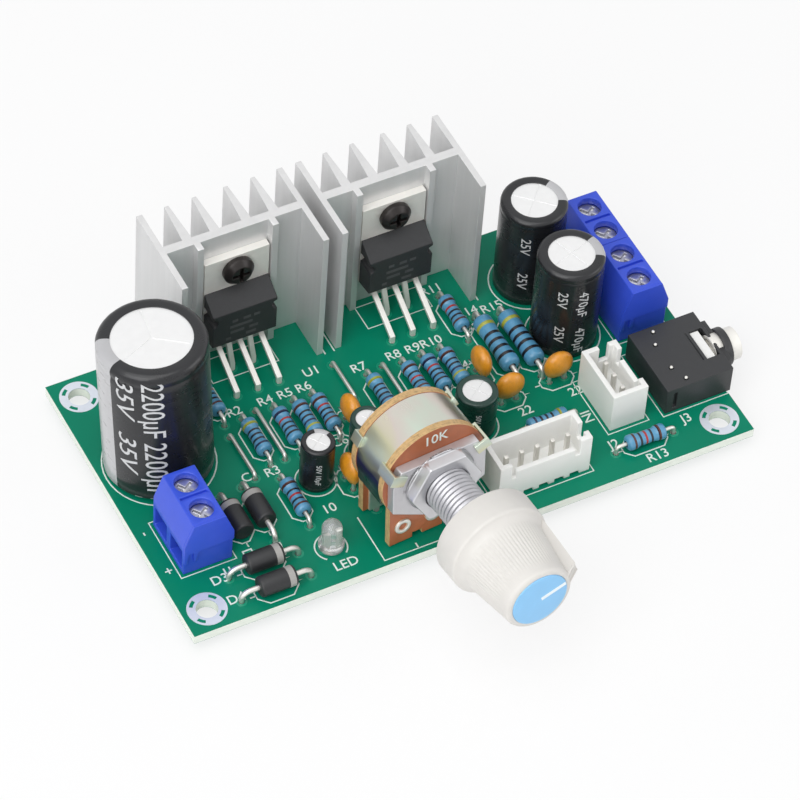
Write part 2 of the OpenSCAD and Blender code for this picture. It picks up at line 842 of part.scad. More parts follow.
module led_lens() {
    color("white") on_board(led) {
        translate([0, 0, led_lift]) cylinder(r = led_flange_r, h = led_flange_h);
        translate([0, 0, led_lift + led_flange_h - e])
            cylinder(r = led_r, h = led_h - led_r - led_lift - led_flange_h + e);
        translate([0, 0, led_h - led_r]) intersection() {
            sphere(r = led_r);
            translate([-2 * led_r, -2 * led_r, -e]) cube([4 * led_r, 4 * led_r, 2 * led_r]);
        }
    }
}

module led_leads() {
    color("silver") for (p = led_holes) on_board(p)
        translate([0, 0, -board_t - small_solder_h])
            cylinder(r = thin_wire_r, h = board_t + small_solder_h + led_lift);
}

// Children of a terminal block's own frame: x from the wire side, y along the row
module on_block(b) {
    if (b.z < 0)
        on_board([b.x, b.y]) children();
    else
        on_board([b.x + block_d, b.y + 2 * way_pitch]) rotate([0, 0, 180]) children();
}

module terminal_housing() {
    top_x = (block_d - block_top_w) / 2;
    room_l = cage_l + 2 * cage_gap;
    room_x = block_screw_d - room_l / 2;
    room_w = cage_w + 2 * cage_gap;
    slot_w = bar_w + 2 * cage_gap;
    difference() {
        translate([0, 2 * way_pitch, 0]) rotate([90, 0, 0]) linear_extrude(2 * way_pitch) polygon([
            [0, 0], [block_d, 0], [block_d, block_shoulder], [block_d - top_x, block_h],
            [top_x, block_h], [0, block_shoulder]]);
        for (i = [0.5, 1.5]) translate([0, i * way_pitch, 0]) {
            translate([block_screw_d, 0, lip_z - e]) cylinder(r = well_lip_r, h = block_h);
            translate([block_screw_d, 0, clamp_head_z]) cylinder(r = well_r, h = lip_z - clamp_head_z);
            translate([block_screw_d, 0, ceiling_z - e])
                cylinder(r = shank_bore_r, h = clamp_head_z - ceiling_z + 2 * e);
            translate([room_x, -room_w / 2, block_floor])
                cube([room_l, room_w, ceiling_z - block_floor]);
            translate([room_x, -slot_w / 2, -through])
                cube([leg_d + leg_t + cage_gap - room_x, slot_w, bar_top + cage_gap + through]);
            translate([-through, -entry_w / 2, entry_low])
                cube([room_x + through + e, entry_w, entry_high - entry_low]);
        }
        translate([block_screw_d - groove_l / 2, way_pitch - groove_w / 2, block_h - groove_h])
            cube([groove_l, groove_w, groove_h + through]);
    }
}

module terminal_housing_1() {
    color("royalblue") on_block(blocks[0]) terminal_housing();
}

module terminal_housing_2() {
    color("royalblue") on_block(blocks[1]) terminal_housing();
}

module terminal_housing_3() {
    color("royalblue") on_block(blocks[2]) terminal_housing();
}

clamp_places = block_points(block_screw_d);

// Clamp screw number i, with a cross slot in its head
module terminal_screw(i) {
    shank_end = bar_top + cage_gap / 2;
    color("silver") on_board(clamp_places[i]) difference() {
        union() {
            translate([0, 0, clamp_head_z]) cylinder(r = clamp_head_r, h = clamp_head_h);
            translate([0, 0, shank_end]) cylinder(r = shank_r, h = clamp_head_z - shank_end + e);
        }
        for (a = [35, 125])
            translate([0, 0, clamp_head_top - clamp_slot_h]) rotate([0, 0, a])
                post([2 * (clamp_head_r - clamp_rim), clamp_slot_w, clamp_slot_h + through]);
    }
}

// Wire clamp number i, a square loop around the contact bar
module wire_clamp(i) {
    color("lightgray") on_board(clamp_places[i]) difference() {
        translate([0, 0, cage_low]) post([cage_l, cage_w, cage_high - cage_low]);
        translate([0, 0, cage_low + cage_floor])
            post([cage_l + 2 * through, cage_w - 2 * cage_wall,
                cage_high - cage_low - 2 * cage_floor]);
        translate([0, 0, cage_high - cage_floor - through])
            cylinder(r = cage_hole_r, h = cage_floor + 2 * through);
    }
}

module terminal_screw_1() { terminal_screw(0); }
module terminal_screw_2() { terminal_screw(1); }
module terminal_screw_3() { terminal_screw(2); }
module terminal_screw_4() { terminal_screw(3); }
module terminal_screw_5() { terminal_screw(4); }
module terminal_screw_6() { terminal_screw(5); }
module wire_clamp_1() { wire_clamp(0); }
module wire_clamp_2() { wire_clamp(1); }
module wire_clamp_3() { wire_clamp(2); }
module wire_clamp_4() { wire_clamp(3); }
module wire_clamp_5() { wire_clamp(4); }
module wire_clamp_6() { wire_clamp(5); }

// Contact bars, each with a leg down to its pin in the board
module terminal_contacts() {
    color("silver") for (b = blocks, i = [0.5, 1.5]) on_block(b) translate([0, i * way_pitch, 0]) {
        translate([bar_front, -bar_w / 2, bar_bottom])
            cube([leg_d + leg_t - bar_front, bar_w, bar_top - bar_bottom]);
        translate([leg_d, -bar_w / 2, e]) cube([leg_t, bar_w, bar_bottom]);
        translate([leg_d, -pin_w / 2, -board_t - solder_h])
            cube([leg_t, pin_w, board_t + solder_h + 2 * e]);
    }
}

// Jack's own frame: x from its back to the right, y from its front
module on_jack() {
    on_board([jack_x, jack_y]) children();
}

module along_socket(x0, x1, r) {
    translate([x0, jack_axis_y, jack_axis_z]) rotate([0, 90, 0]) cylinder(r = r, h = x1 - x0);
}

module jack_housing() {
    window_x = jack_end - jack_wall / 2 - window_w;
    collar_end = jack_end + collar_l;
    panel = 0.25;
    color("dimgray") on_jack() difference() {
        union() {
            cube([jack_end, jack_w, jack_h]);
            translate([jack_end - e, jack_axis_y - collar_w / 2, 0])
                cube([collar_l + e, collar_w, jack_h - collar_step]);
            along_socket(collar_end - e, collar_end + nose_l, nose_r);
        }
        translate([jack_wall, jack_wall, jack_floor])
            cube([jack_end - 2 * jack_wall, cavity_w, jack_h - jack_floor - jack_wall]);
        along_socket(jack_end - jack_wall - e, collar_end + nose_l + through, ring_r + thread_gap);
        translate([window_x, jack_axis_y - window_l / 2, jack_floor])
            cube([window_w, window_l, jack_h]);
        for (h = jack_holes) translate([h.x, h.y, jack_h - jack_wall / 2])
            post([jack_hole, jack_hole, jack_wall]);
        translate([jack_slot_x, -through, jack_floor])
            cube([jack_hole, through + jack_wall / 2, jack_h - jack_floor - jack_wall]);
        for (x = contact_xs, y = contact_ys)
            translate([x + contact_w / 2, y + contact_t / 2, -through])
                post([pin_w + 2 * e, contact_t + 2 * e, jack_floor + 2 * through]);
        translate([window_x - 3 * panel, jack_axis_y - window_l / 2, jack_h - panel])
            cube([panel, window_l, panel + through]);
    }
}

// White block behind the window, bored for the plug
module jack_insert() {
    gap = 0.05;
    color("white") on_jack() difference() {
        translate([jack_end - jack_wall / 2 - window_w + gap, jack_axis_y - window_l / 2 + gap,
            jack_floor]) cube([window_w - jack_wall / 2 - 2 * gap, window_l - 2 * gap,
            jack_h - jack_floor - window_d]);
        along_socket(0, jack_end, socket_r + gap);
    }
}

module jack_ring() {
    start = jack_end - jack_wall / 2;
    color("silver") on_jack() difference() {
        along_socket(start, jack_end + collar_l + nose_l + ring_proud, ring_r);
        along_socket(start - through, jack_end + collar_l + nose_l + 2 * ring_proud, socket_r);
    }
}

// Spring strips along the two side walls, each with a pin in the board
module jack_contacts() {
    color("silver") on_jack() for (x = contact_xs, y = contact_ys) {
        translate([x, y, jack_floor + e]) cube([contact_w, contact_t, contact_h]);
        translate([x + contact_w / 2, y + contact_t / 2, -board_t - solder_h])
            post([pin_w, contact_t, board_t + solder_h + jack_floor + 2 * e]);
    }
}

// Open header shell for n pins, with its slotted wall at the front
module header_shell(n) {
    l = (n - 1) * header_pitch + 2 * header_end;
    difference() {
        cube([l, header_d, header_h]);
        translate([header_wall, header_wall, header_floor])
            cube([l - 2 * header_wall, header_d - 2 * header_wall, header_h]);
        for (i = [0:n - 1]) {
            translate([header_end + i * header_pitch, header_d / 2, -through])
                post([pin_side + 2 * e, pin_side + 2 * e, header_floor + 2 * through]);
            translate([header_end + i * header_pitch - header_foot_w / 2, -through, -through])
                cube([header_foot_w, header_wall + through, header_foot_h + through]);
        }
        for (x = [header_post, l - header_post])
            translate([x, -through, header_h - header_slot_h])
                translate([-header_slot_w / 2, 0, 0])
                    cube([header_slot_w, header_wall + 2 * through, header_slot_h + through]);
        translate([header_post, -through, header_h - header_notch_h])
            cube([l - 2 * header_post, header_wall + 2 * through, header_notch_h + through]);
        translate([l - header_wall - through, header_post - header_slot_w, header_h - header_slot_h])
            cube([header_wall + 2 * through, 2 * header_slot_w, header_slot_h + through]);
    }
}

module volume_header() {
    color("whitesmoke") on_board(volume_header) header_shell(volume_pins);
}

module input_header() {
    color("whitesmoke") on_board(input_header, 90) header_shell(input_pins);
}

module header_pins() {
    color("gold") for (p = header_holes) on_board(p)
        translate([0, 0, -board_t - solder_h])
            post([pin_side, pin_side, board_t + solder_h + pin_top]);
}

// Round top with straight sides down to a level foot
module arch(r, drop) {
    intersection() {
        union() {
            circle(r);
            translate([flat_side - r, -drop]) square([2 * (r - flat_side), drop]);
        }
        translate([-r, -drop]) square([2 * r, drop + r]);
    }
}

module pot_front_plate() {
    color("lightgray") on_pot() {
        difference() {
            union() {
                plate(0, plate_t) polygon([[-plate_top_x, plate_top], [-plate_side_x, plate_side_top],
                    [-plate_side_x, plate_side_low], [-plate_foot_x, -plate_drop],
                    [plate_foot_x, -plate_drop], [plate_side_x, plate_side_low],
                    [plate_side_x, plate_side_top], [plate_top_x, plate_top]]);
                turned() square([bushing_r, bushing_l]);
            }
            translate([0, plate_t + through, 0]) rotate([90, 0, 0])
                cylinder(r = shaft_r + shaft_gap, h = plate_t + bushing_l + 2 * through);
        }
    }
}

// Hex nut and the round washer under it
module pot_nut() {
    color("silver") on_pot() {
        plate(-washer_t, washer_t) difference() {
            circle(washer_r);
            circle(bushing_r + thread_gap);
        }
        plate(-washer_t - nut_t, nut_t) difference() {
            circle(r = nut_flats / 2 / cos(30), $fn = 6);
            circle(bushing_r + thread_gap);
        }
    }
}

// Folded tab of the cover that grips depth y0 to y1 at the rim
module cover_tab(side, y0, y1, hook_y) {
    rotate([0, -side * pot_tab_angle, 0]) translate([side > 0 ? wafer_r + e : -wafer_r - e - cover_t,
        0, -pot_tab_w / 2]) {
        translate([0, y0, 0]) cube([cover_t, y1 - y0, pot_tab_w]);
        translate([side > 0 ? -pot_tab_reach : e, hook_y, 0])
            cube([pot_tab_reach + cover_t - e, cover_t, pot_tab_w]);
    }
}

module pot_cover() {
    rear_end = rear_wafer_y + wafer_t;
    color("khaki") on_pot() {
        plate(cover_y, cover_l) difference() {
            arch(cover_r, cover_drop);
            arch(cover_r - cover_t, cover_drop + through);
        }
        for (side = [-1, 1]) {
            cover_tab(side, -cover_t, cover_y + cover_t, -cover_t);
            cover_tab(side, rear_wafer_y - cover_t, rear_end + cover_t, rear_end);
            for (y = [cover_y, rear_wafer_y - cover_t])
                rotate([0, -side * pot_tab_angle, 0])
                    translate([side > 0 ? cover_r - cover_t / 2 : -wafer_r - e - cover_t, y,
                        -pot_tab_w / 2])
                        cube([wafer_r + e + cover_t - cover_r + cover_t / 2, cover_t, pot_tab_w]);
        }
    }
}

// The two wafers with their riveted terminals on the inner faces
module pot_wafers() {
    color("peru") on_pot() for (side = [0, 1]) {
        drop = side == 0 ? front_drop : rear_drop;
        plate(side == 0 ? front_wafer_y : rear_wafer_y, wafer_t) difference() {
            union() {
                circle(wafer_r);
                translate([-tongue_x, -drop]) square([2 * tongue_x, drop]);
            }
            circle(side == 0 ? wafer_hole_r : journal_r + journal_gap);
            for (s = [-1, 1])
                translate([s * tongue_notch_x - tongue_notch_w / 2, -drop - through])
                    square([tongue_notch_w, tongue_notch_h + through]);
        }
    }
    color("silver") on_pot() for (side = [0, 1], i = [-1:1]) {
        drop = side == 0 ? front_drop : rear_drop;
        y = side == 0 ? cover_y : rear_wafer_y - terminal_t;
        face = side == 0 ? front_wafer_y - rivet_head_t : rear_wafer_y + wafer_t;
        foot = -(pot_h + board_t + solder_h) + (y + terminal_t) * sin(pot_lean);
        translate([i * terminal_pitch, 0, 0]) {
            translate([-terminal_w / 2, y, -drop])
                cube([terminal_w, terminal_t, drop - terminal_top]);
            translate([-pot_pin_w / 2, y, foot])
                cube([pot_pin_w, terminal_t, -foot - drop + e]);
            plate(face, rivet_head_t) translate([0, -rivet_z]) difference() {
                circle(rivet_head_r);
                circle(rivet_r);
            }
        }
    }
}

// Shaft, rotor and wipers, which turn as one
module pot_shaft() {
    rotor_end = rotor_y + rotor_t;
    color("gainsboro") on_pot() difference() {
        union() {
            translate([0, rotor_y + e, 0]) turned() square([shaft_r, shaft_end + rotor_y + e]);
            translate([0, rotor_end, 0]) turned() square([rotor_r, rotor_t]);
            translate([0, rear_wafer_y + wafer_t, 0]) turned()
                square([journal_r, rear_wafer_y + wafer_t - rotor_end + e]);
            for (a = [0, 180]) rotate([0, a, 0]) {
                translate([wiper_r - wiper_w / 2, cover_y + wiper_gap, -wiper_w / 2])
                    cube([wiper_w, rotor_y - cover_y - wiper_gap + e, wiper_w]);
                translate([wiper_r - wiper_w / 2, rotor_end - e, -wiper_w / 2])
                    cube([wiper_w, rear_wafer_y - wiper_gap - rotor_end + e, wiper_w]);
            }
        }
        translate([-shaft_slot_w / 2, -shaft_end - through, -shaft_r - through])
            cube([shaft_slot_w, shaft_slot_l + through, 2 * shaft_r + 2 * through]);
    }
}

// Hollow knob with a skirt, a tapering grip, a hub on the shaft and a ridge at the pointer
module knob_body() {
    grip_r = knob_skirt_r - skirt_fall;
    inner_end = knob_front - knob_face_t;
    ridge_back = knob_back + skirt_l - ridge_root;
    color("whitesmoke") on_pot() {
        turned() difference() {
            polygon([[shaft_r + e, knob_back + knob_wall], [knob_hub_r, knob_back + knob_wall],
                [knob_hub_r, inner_end - knob_wall], [knob_hub_r + e, inner_end - knob_wall],
                [grip_r - knob_wall, knob_back + skirt_l], [knob_skirt_r - knob_wall, knob_back],
                [knob_skirt_r, knob_back], [knob_skirt_r - skirt_taper, knob_back + skirt_l],
                [grip_r, knob_back + skirt_l + skirt_fall], [knob_end_r, knob_front - knob_edge],
                [knob_end_r - knob_edge, knob_front], [0, knob_front], [0, inner_end + e],
                [shaft_r + e, inner_end + e]]);
            translate([-through, knob_front - cap_t]) square([cap_r + e + through, cap_t + through]);
        }
        rotate([0, pointer_angle, 0]) rotate([180, -90, 0]) linear_extrude(ridge_w, center = true)
            polygon([[grip_r - ridge_root, ridge_back], [ridge_back_r, ridge_back],
                [ridge_front_r, knob_front - ridge_bevel],
                [knob_end_r - knob_edge / 2, knob_front - knob_edge / 2],
                [knob_end_r - ridge_root, knob_front - ridge_bevel]]);
    }
}

// Coloured cap set in the front of the knob, with its pointer groove
module knob_cap() {
    color("lightskyblue") on_pot() rotate([0, pointer_angle, 0]) difference() {
        translate([0, -knob_front + cap_t, 0]) turned() square([cap_r, cap_t + cap_proud]);
        translate([-pointer_w / 2, -knob_front - cap_proud - through, 0])
            cube([pointer_w, pointer_d + through, cap_r + through]);
    }
}

circuit_board();
solder_joints();
small_solder_joints();
heatsink_left();
heatsink_right();
amplifier_case_left();
amplifier_case_right();
amplifier_frame_left();
amplifier_frame_right();
heatsink_screws();
filter_capacitor_can();
filter_capacitor_sleeve();
output_capacitor_cans();
output_capacitor_sleeves();
small_capacitor_cans();
bypass_capacitor_sleeve();
coupling_capacitor_sleeves();
capacitor_seals();
capacitor_leads();
resistors();
resistor_leads();
power_resistors();
power_resistor_leads();
rectifier_diodes();
diode_leads();
jumper_wires();
ceramic_capacitors();
ceramic_leads();
led_lens();
led_leads();
terminal_housing_1();
terminal_housing_2();
terminal_housing_3();
terminal_screw_1();
terminal_screw_2();
terminal_screw_3();
terminal_screw_4();
terminal_screw_5();
terminal_screw_6();
wire_clamp_1();
wire_clamp_2();
wire_clamp_3();
wire_clamp_4();
wire_clamp_5();
wire_clamp_6();
terminal_contacts();
jack_housing();
jack_insert();
jack_ring();
jack_contacts();
input_header();
volume_header();
header_pins();
pot_front_plate();
pot_nut();
pot_cover();
pot_wafers();
pot_shaft();
knob_body();
knob_cap();
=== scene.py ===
"""Dresses the audio amplifier board: finishes, prints, bands, threads, wires and a studio stage."""
import json
import math

import bmesh
import bpy
from bpy.props import FloatProperty, FloatVectorProperty, IntProperty, PointerProperty
from mathutils import Matrix, Vector, noise


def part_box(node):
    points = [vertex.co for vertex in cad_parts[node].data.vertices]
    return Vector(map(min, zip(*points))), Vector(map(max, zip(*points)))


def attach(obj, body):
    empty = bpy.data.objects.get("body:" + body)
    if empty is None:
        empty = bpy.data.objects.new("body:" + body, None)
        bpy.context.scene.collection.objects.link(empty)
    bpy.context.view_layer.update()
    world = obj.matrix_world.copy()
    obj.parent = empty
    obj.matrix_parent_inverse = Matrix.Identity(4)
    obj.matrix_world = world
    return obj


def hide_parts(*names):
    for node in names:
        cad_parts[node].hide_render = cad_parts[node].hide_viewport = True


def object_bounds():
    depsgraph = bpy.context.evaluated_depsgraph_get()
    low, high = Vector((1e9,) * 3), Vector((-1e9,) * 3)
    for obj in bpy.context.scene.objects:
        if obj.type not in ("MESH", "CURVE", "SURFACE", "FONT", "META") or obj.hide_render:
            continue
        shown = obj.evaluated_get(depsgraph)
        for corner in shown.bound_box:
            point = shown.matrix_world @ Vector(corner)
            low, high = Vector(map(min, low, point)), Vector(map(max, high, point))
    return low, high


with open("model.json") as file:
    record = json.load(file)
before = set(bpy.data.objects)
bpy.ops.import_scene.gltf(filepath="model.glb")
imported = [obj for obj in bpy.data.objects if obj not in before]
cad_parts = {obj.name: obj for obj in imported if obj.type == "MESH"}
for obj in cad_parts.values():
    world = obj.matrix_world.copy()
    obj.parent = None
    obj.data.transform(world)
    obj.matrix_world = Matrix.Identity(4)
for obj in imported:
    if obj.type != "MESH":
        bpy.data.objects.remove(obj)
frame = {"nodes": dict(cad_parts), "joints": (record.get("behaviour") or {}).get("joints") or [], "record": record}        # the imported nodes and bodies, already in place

bl_info = {
    "name": "Amplifier board",
    "version": (1, 0, 0),
    "blender": (4, 5, 0),
    "location": "View3D > Sidebar > Amplifier",
    "description": "Builds the looks of an audio amplifier board around its packed parts",
    "category": "Object",
}

MM = 0.001
CAD_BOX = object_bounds()
NODES = frame["nodes"]
BODY_OF = {n: b for b, members in frame["record"]["behaviour"]["bodies"].items() for n in members}
SLOT_OF = {s["node"]: s["material_slot"] for s in frame["record"]["subparts"]}
BOARD_LOW, BOARD_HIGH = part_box("circuit_board")
BOARD_TOP = BOARD_HIGH.z
WELD = 1e-6
FLAT_ANGLE = math.radians(0.5)
SHARP_ANGLE = math.radians(32)
TURNED_ANGLE = math.radians(40)
ROUND_ANGLE = math.radians(50)
FORM_ANGLE = math.radians(60)
THREAD_ANGLE = math.radians(85)
RIGHT_ANGLE = math.pi / 2
FULL_TURN = 2 * math.pi
CAPITAL_SHARE = 0.7      # height of a capital as a share of the font's size


def srgb(red, green, blue):
    """Linear colour of three screen values from 0 to 255."""
    def linear(value):
        share = value / 255
        return share / 12.92 if share <= 0.04045 else ((share + 0.055) / 1.055) ** 2.4
    return (linear(red), linear(green), linear(blue))


def colour(name, description, *screen):
    """Colour property with its default in screen values."""
    return FloatVectorProperty(name=name, description=description, subtype="COLOR", size=3,
                               min=0, max=1, default=srgb(*screen))


def length(name, description, millimetres):
    """Length property with its default in millimetres."""
    return FloatProperty(name=name, description=description, unit="LENGTH", min=0, precision=5,
                         default=millimetres * MM)


class BoardColours(bpy.types.PropertyGroup):
    """Colours of the board and its parts."""
    mask: colour("Solder mask", "Green lacquer of the board", 4, 128, 99)
    laminate: colour("Laminate", "Bare glass laminate at the board's edge", 240, 246, 236)
    ink: colour("Print", "White print on the board", 226, 236, 230)
    tin: colour("Tin", "Tinned leads and pads", 226, 224, 218)
    aluminium: colour("Aluminium", "Heatsinks and capacitor cans", 226, 226, 226)
    moulding: colour("Black moulding", "Chip cases, diodes and the jack", 40, 41, 43)
    sleeve: colour("Capacitor sleeve", "Printed sleeve of the large capacitors", 30, 31, 34)
    green_sleeve: colour("Small capacitor sleeve", "Sleeve of the coupling capacitors", 24, 58, 50)
    stripe: colour("Polarity stripe", "Pale stripe of a sleeve", 190, 190, 192)
    resistor: colour("Resistor", "Lacquer of the resistors", 92, 160, 200)
    ceramic: colour("Ceramic", "Dipped lacquer of the ceramic capacitors", 226, 150, 36)
    terminal: colour("Terminal", "Blue housings of the screw terminals", 54, 84, 214)
    nylon: colour("Nylon", "White header shells", 244, 244, 241)
    phenolic: colour("Phenolic", "Face of the volume control's wafers", 172, 98, 60)
    phenolic_edge: colour("Phenolic edge", "Cut edge of the wafers", 204, 168, 116)
    passivation: colour("Passivation", "Zinc cover of the volume control", 210, 212, 202)
    knob: colour("Knob", "Pale knob", 222, 219, 214)
    cap: colour("Knob cap", "Blue cap of the knob", 142, 202, 246)
    floor: colour("Floor", "Plain pale floor", 244, 244, 244)


class BoardSizes(bpy.types.PropertyGroup):
    """Sizes of the details that the looks add."""
    fine_edge: length("Fine edge", "Rounding of metal edges", 0.06)
    soft_edge: length("Soft edge", "Rounding of moulded edges", 0.14)
    ink_height: length("Print height", "Thickness of the print", 0.03)
    ink_width: length("Print width", "Width of a printed line", 0.22)
    letter: length("Letter height", "Height of the printed letters", 1.55)
    ring_radius: length("Ring radius", "Outer radius of the rings round the mounting holes", 2.9)
    thread_pitch: length("Thread pitch", "Pitch of the bushing's thread", 0.75)
    thread_depth: length("Thread depth", "Depth of the bushing's thread", 0.2)
    rib_depth: length("Rib depth", "Depth of the knob's fine ribs", 0.1)
    rib_count: IntProperty(name="Ribs", description="Fine ribs round the knob", min=12, default=72)


def colours():
    return bpy.context.scene.board_colours


def sizes():
    return bpy.context.scene.board_sizes


# Shader maths and finishes

class Value:
    """A number socket of a shader that takes part in Python sums."""

    def __init__(self, finish, socket):
        self.finish = finish
        self.socket = socket

    def _math(self, operation, first, second=0.0):
        return self.finish.value("ShaderNodeMath", {"operation": operation}, {0: first, 1: second})

    def __add__(self, other):
        return self._math("ADD", self, other)

    def __radd__(self, other):
        return self._math("ADD", other, self)

    def __sub__(self, other):
        return self._math("SUBTRACT", self, other)

    def __rsub__(self, other):
        return self._math("SUBTRACT", other, self)

    def __mul__(self, other):
        return self._math("MULTIPLY", self, other)

    def __rmul__(self, other):
        return self._math("MULTIPLY", other, self)

    def __gt__(self, other):
        return self._math("GREATER_THAN", self, other)

    def __lt__(self, other):
        return self._math("LESS_THAN", self, other)

    def __abs__(self):
        return self._math("ABSOLUTE", self)


class Nodes:
    """A shader tree, with short ways to add its nodes."""

    def __init__(self, tree):
        self.tree = tree

    def feed(self, socket, value):
        """Sets or links one socket."""
        if isinstance(value, Value):
            value = value.socket
        if isinstance(value, bpy.types.NodeSocket):
            self.tree.links.new(value, socket)
        elif socket.type == "RGBA" and len(value) == 3:
            socket.default_value = (*value, 1)
        else:
            socket.default_value = value

    def node(self, kind, settings=None, inputs=None):
        """Any node, with its settings first and then its socket values or links."""
        made = self.tree.nodes.new(kind)
        for name, value in (settings or {}).items():
            setattr(made, name, value)
        for key, value in (inputs or {}).items():
            self.feed(made.inputs[key], value)
        return made

    def value(self, kind, settings=None, inputs=None, out=0):
        return Value(self, self.node(kind, settings, inputs).outputs[out])

    def background_rays(self):
        """1 on the rays that show the background: straight, mirrored or through a lens."""
        path = self.node("ShaderNodeLightPath")
        camera, mirrored, through = (Value(self, path.outputs[f"Is {kind} Ray"])
                                     for kind in ("Camera", "Glossy", "Transmission"))
        return camera + mirrored + through


class Finish(Nodes):
    """One material around its main shader."""

    def __init__(self, name, **constants):
        self.material = bpy.data.materials.new(name)
        self.material.use_nodes = True
        super().__init__(self.material.node_tree)
        self.shader = self.tree.nodes["Principled BSDF"]
        for socket, value in constants.items():
            self.put(socket.replace("_", " "), value)

    def put(self, socket, value):
        """Sets or links one socket of the shader."""
        self.feed(self.shader.inputs[socket], value)

    def place(self, scale=(1, 1, 1)):
        """Object coordinates, scaled."""
        spot = self.node("ShaderNodeTexCoord").outputs["Object"]
        return self.node("ShaderNodeMapping", None, {"Vector": spot, "Scale": scale}).outputs[0]

    def axis(self, letter):
        parts = self.node("ShaderNodeSeparateXYZ", None, {0: self.place()})
        return Value(self, parts.outputs[letter])

    def noise(self, size, detail=2.0, stretch=(1, 1, 1)):
        """Noise from 0 to 1 with grains of a size in metres."""
        scale = [1 / (size * s) for s in stretch]
        return self.value("ShaderNodeTexNoise", None, {
            "Vector": self.place(scale), "Scale": 1.0, "Detail": detail})

    def mix(self, factor, first, second):
        """Colour between two others."""
        made = self.node("ShaderNodeMix", {"data_type": "RGBA"})
        self.feed(made.inputs[0], factor)
        self.feed(made.inputs[6], first)
        self.feed(made.inputs[7], second)
        return made.outputs[2]

    def ramp(self, value, stops):
        """Colour ramp through stops of place and colour."""
        made = self.node("ShaderNodeValToRGB")
        while len(made.color_ramp.elements) < len(stops):
            made.color_ramp.elements.new(1.0)
        for element, (place, tint) in zip(made.color_ramp.elements, stops):
            element.position = place
            element.color = (*tint, 1)
        self.feed(made.inputs[0], value)
        return made.outputs[0]

    def bump(self, height, depth, strength=0.5):
        """Bump of a height from 0 to 1 over a depth in metres."""
        made = self.node("ShaderNodeBump", None, {
            "Strength": strength, "Distance": depth, "Height": height})
        self.put("Normal", made.outputs[0])

    def attribute(self, name, out="Color"):
        return self.node("ShaderNodeAttribute", {"attribute_name": name}).outputs[out]


def shade(tint, factor):
    return tuple(min(1.0, c * factor) for c in tint)


def mottled(name, tint, rough, metal=0.0, grain=0.4, spread=0.12, depth=0.012, stretch=(1, 1, 1),
            **constants):
    """Base finish: a tint and gloss that vary by a noise of a grain in millimetres, with fine bump."""
    finish = Finish(name, Metallic=metal, **constants)
    coarse = finish.noise(grain * 4 * MM, 3.0, stretch)
    fine = finish.noise(grain * MM, 2.0, stretch)
    finish.put("Base Color", finish.mix(coarse, shade(tint, 1 - spread), shade(tint, 1 + spread)))
    finish.put("Roughness", rough * 0.8 + fine * (rough * 0.4))
    finish.bump(fine, depth * MM)
    return finish


FINISHES = {}


def finish_of(name):
    """Finish by name, made on first use."""
    if name not in FINISHES:
        FINISHES[name] = FINISH_MAKERS[name]()
    return FINISHES[name]


def board_finish():
    """Green lacquer on both faces and bare laminate at the cut edges."""
    c = colours()
    finish = Finish("green_lacquer", IOR=1.5, Specular_IOR_Level=0.16)
    height = finish.axis("Z")
    middle = (BOARD_LOW.z + BOARD_HIGH.z) / 2
    skin = abs(height - middle) > (BOARD_HIGH.z - middle - 0.035 * MM)
    cloud = finish.noise(9 * MM, 2.0)
    weave = finish.noise(0.35 * MM, 2.0)
    lacquer = finish.mix(cloud, shade(c.mask, 0.9), shade(c.mask, 1.12))
    fibre = finish.noise(0.5 * MM, 3.0, (6, 6, 0.5))
    edge = finish.mix(fibre, shade(c.laminate, 0.86), shade(c.laminate, 1.06))
    finish.put("Base Color", finish.mix(skin, edge, lacquer))
    finish.put("Roughness", 0.62 - skin * 0.34 + weave * 0.06)
    finish.bump(weave, 0.008 * MM, 0.35)
    return finish


def sink_finish():
    """Satin aluminium with long drawn lines along its height."""
    finish = Finish("drawn_aluminium", Metallic=0.5)
    lines = finish.noise(0.12 * MM, 3.0, (1, 1, 90))
    cloud = finish.noise(5 * MM, 2.0, (1, 1, 3))
    tint = colours().aluminium
    streaks = finish.noise(1.1 * MM, 2.0, (1, 1, 40))
    base = finish.mix(cloud, shade(tint, 0.9), shade(tint, 1.06))
    finish.put("Base Color", finish.mix(streaks * 0.45, base, shade(tint, 0.72)))
    finish.put("Roughness", 0.36 + lines * 0.2)
    finish.bump(lines, 0.01 * MM, 0.4)
    return finish


def sleeve_finish(name, tint):
    """Shrunk glossy sleeve whose stripe attribute marks its polarity stripe."""
    finish = Finish(name, IOR=1.5, Specular_IOR_Level=0.4, Coat_Weight=0.15, Coat_Roughness=0.1)
    stripe = finish.attribute("stripe", "Fac")
    creases = finish.noise(2.2 * MM, 3.0, (1, 1, 0.35))
    speck = finish.noise(0.25 * MM, 2.0)
    dark = finish.mix(creases, shade(tint, 0.8), shade(tint, 1.25))
    pale = finish.mix(creases, shade(colours().stripe, 0.88), shade(colours().stripe, 1.04))
    finish.put("Base Color", finish.mix(stripe, dark, pale))
    finish.put("Roughness", 0.2 + creases * 0.14 + speck * 0.04)
    finish.bump(creases, 0.06 * MM, 0.35)
    return finish


def painted_finish(name, rough, coat):
    """Lacquered body whose paint attribute carries its bands."""
    finish = Finish(name, Coat_Weight=coat, Coat_Roughness=0.12)
    speck = finish.noise(0.22 * MM, 3.0)
    paint = finish.attribute("paint")
    dim = finish.node("ShaderNodeVectorMath", {"operation": "SCALE"}, {0: paint, "Scale": 0.78})
    finish.put("Base Color", finish.mix(speck, dim.outputs[0], paint))
    finish.put("Roughness", rough + speck * 0.12)
    finish.bump(speck, 0.03 * MM, 0.4)
    return finish


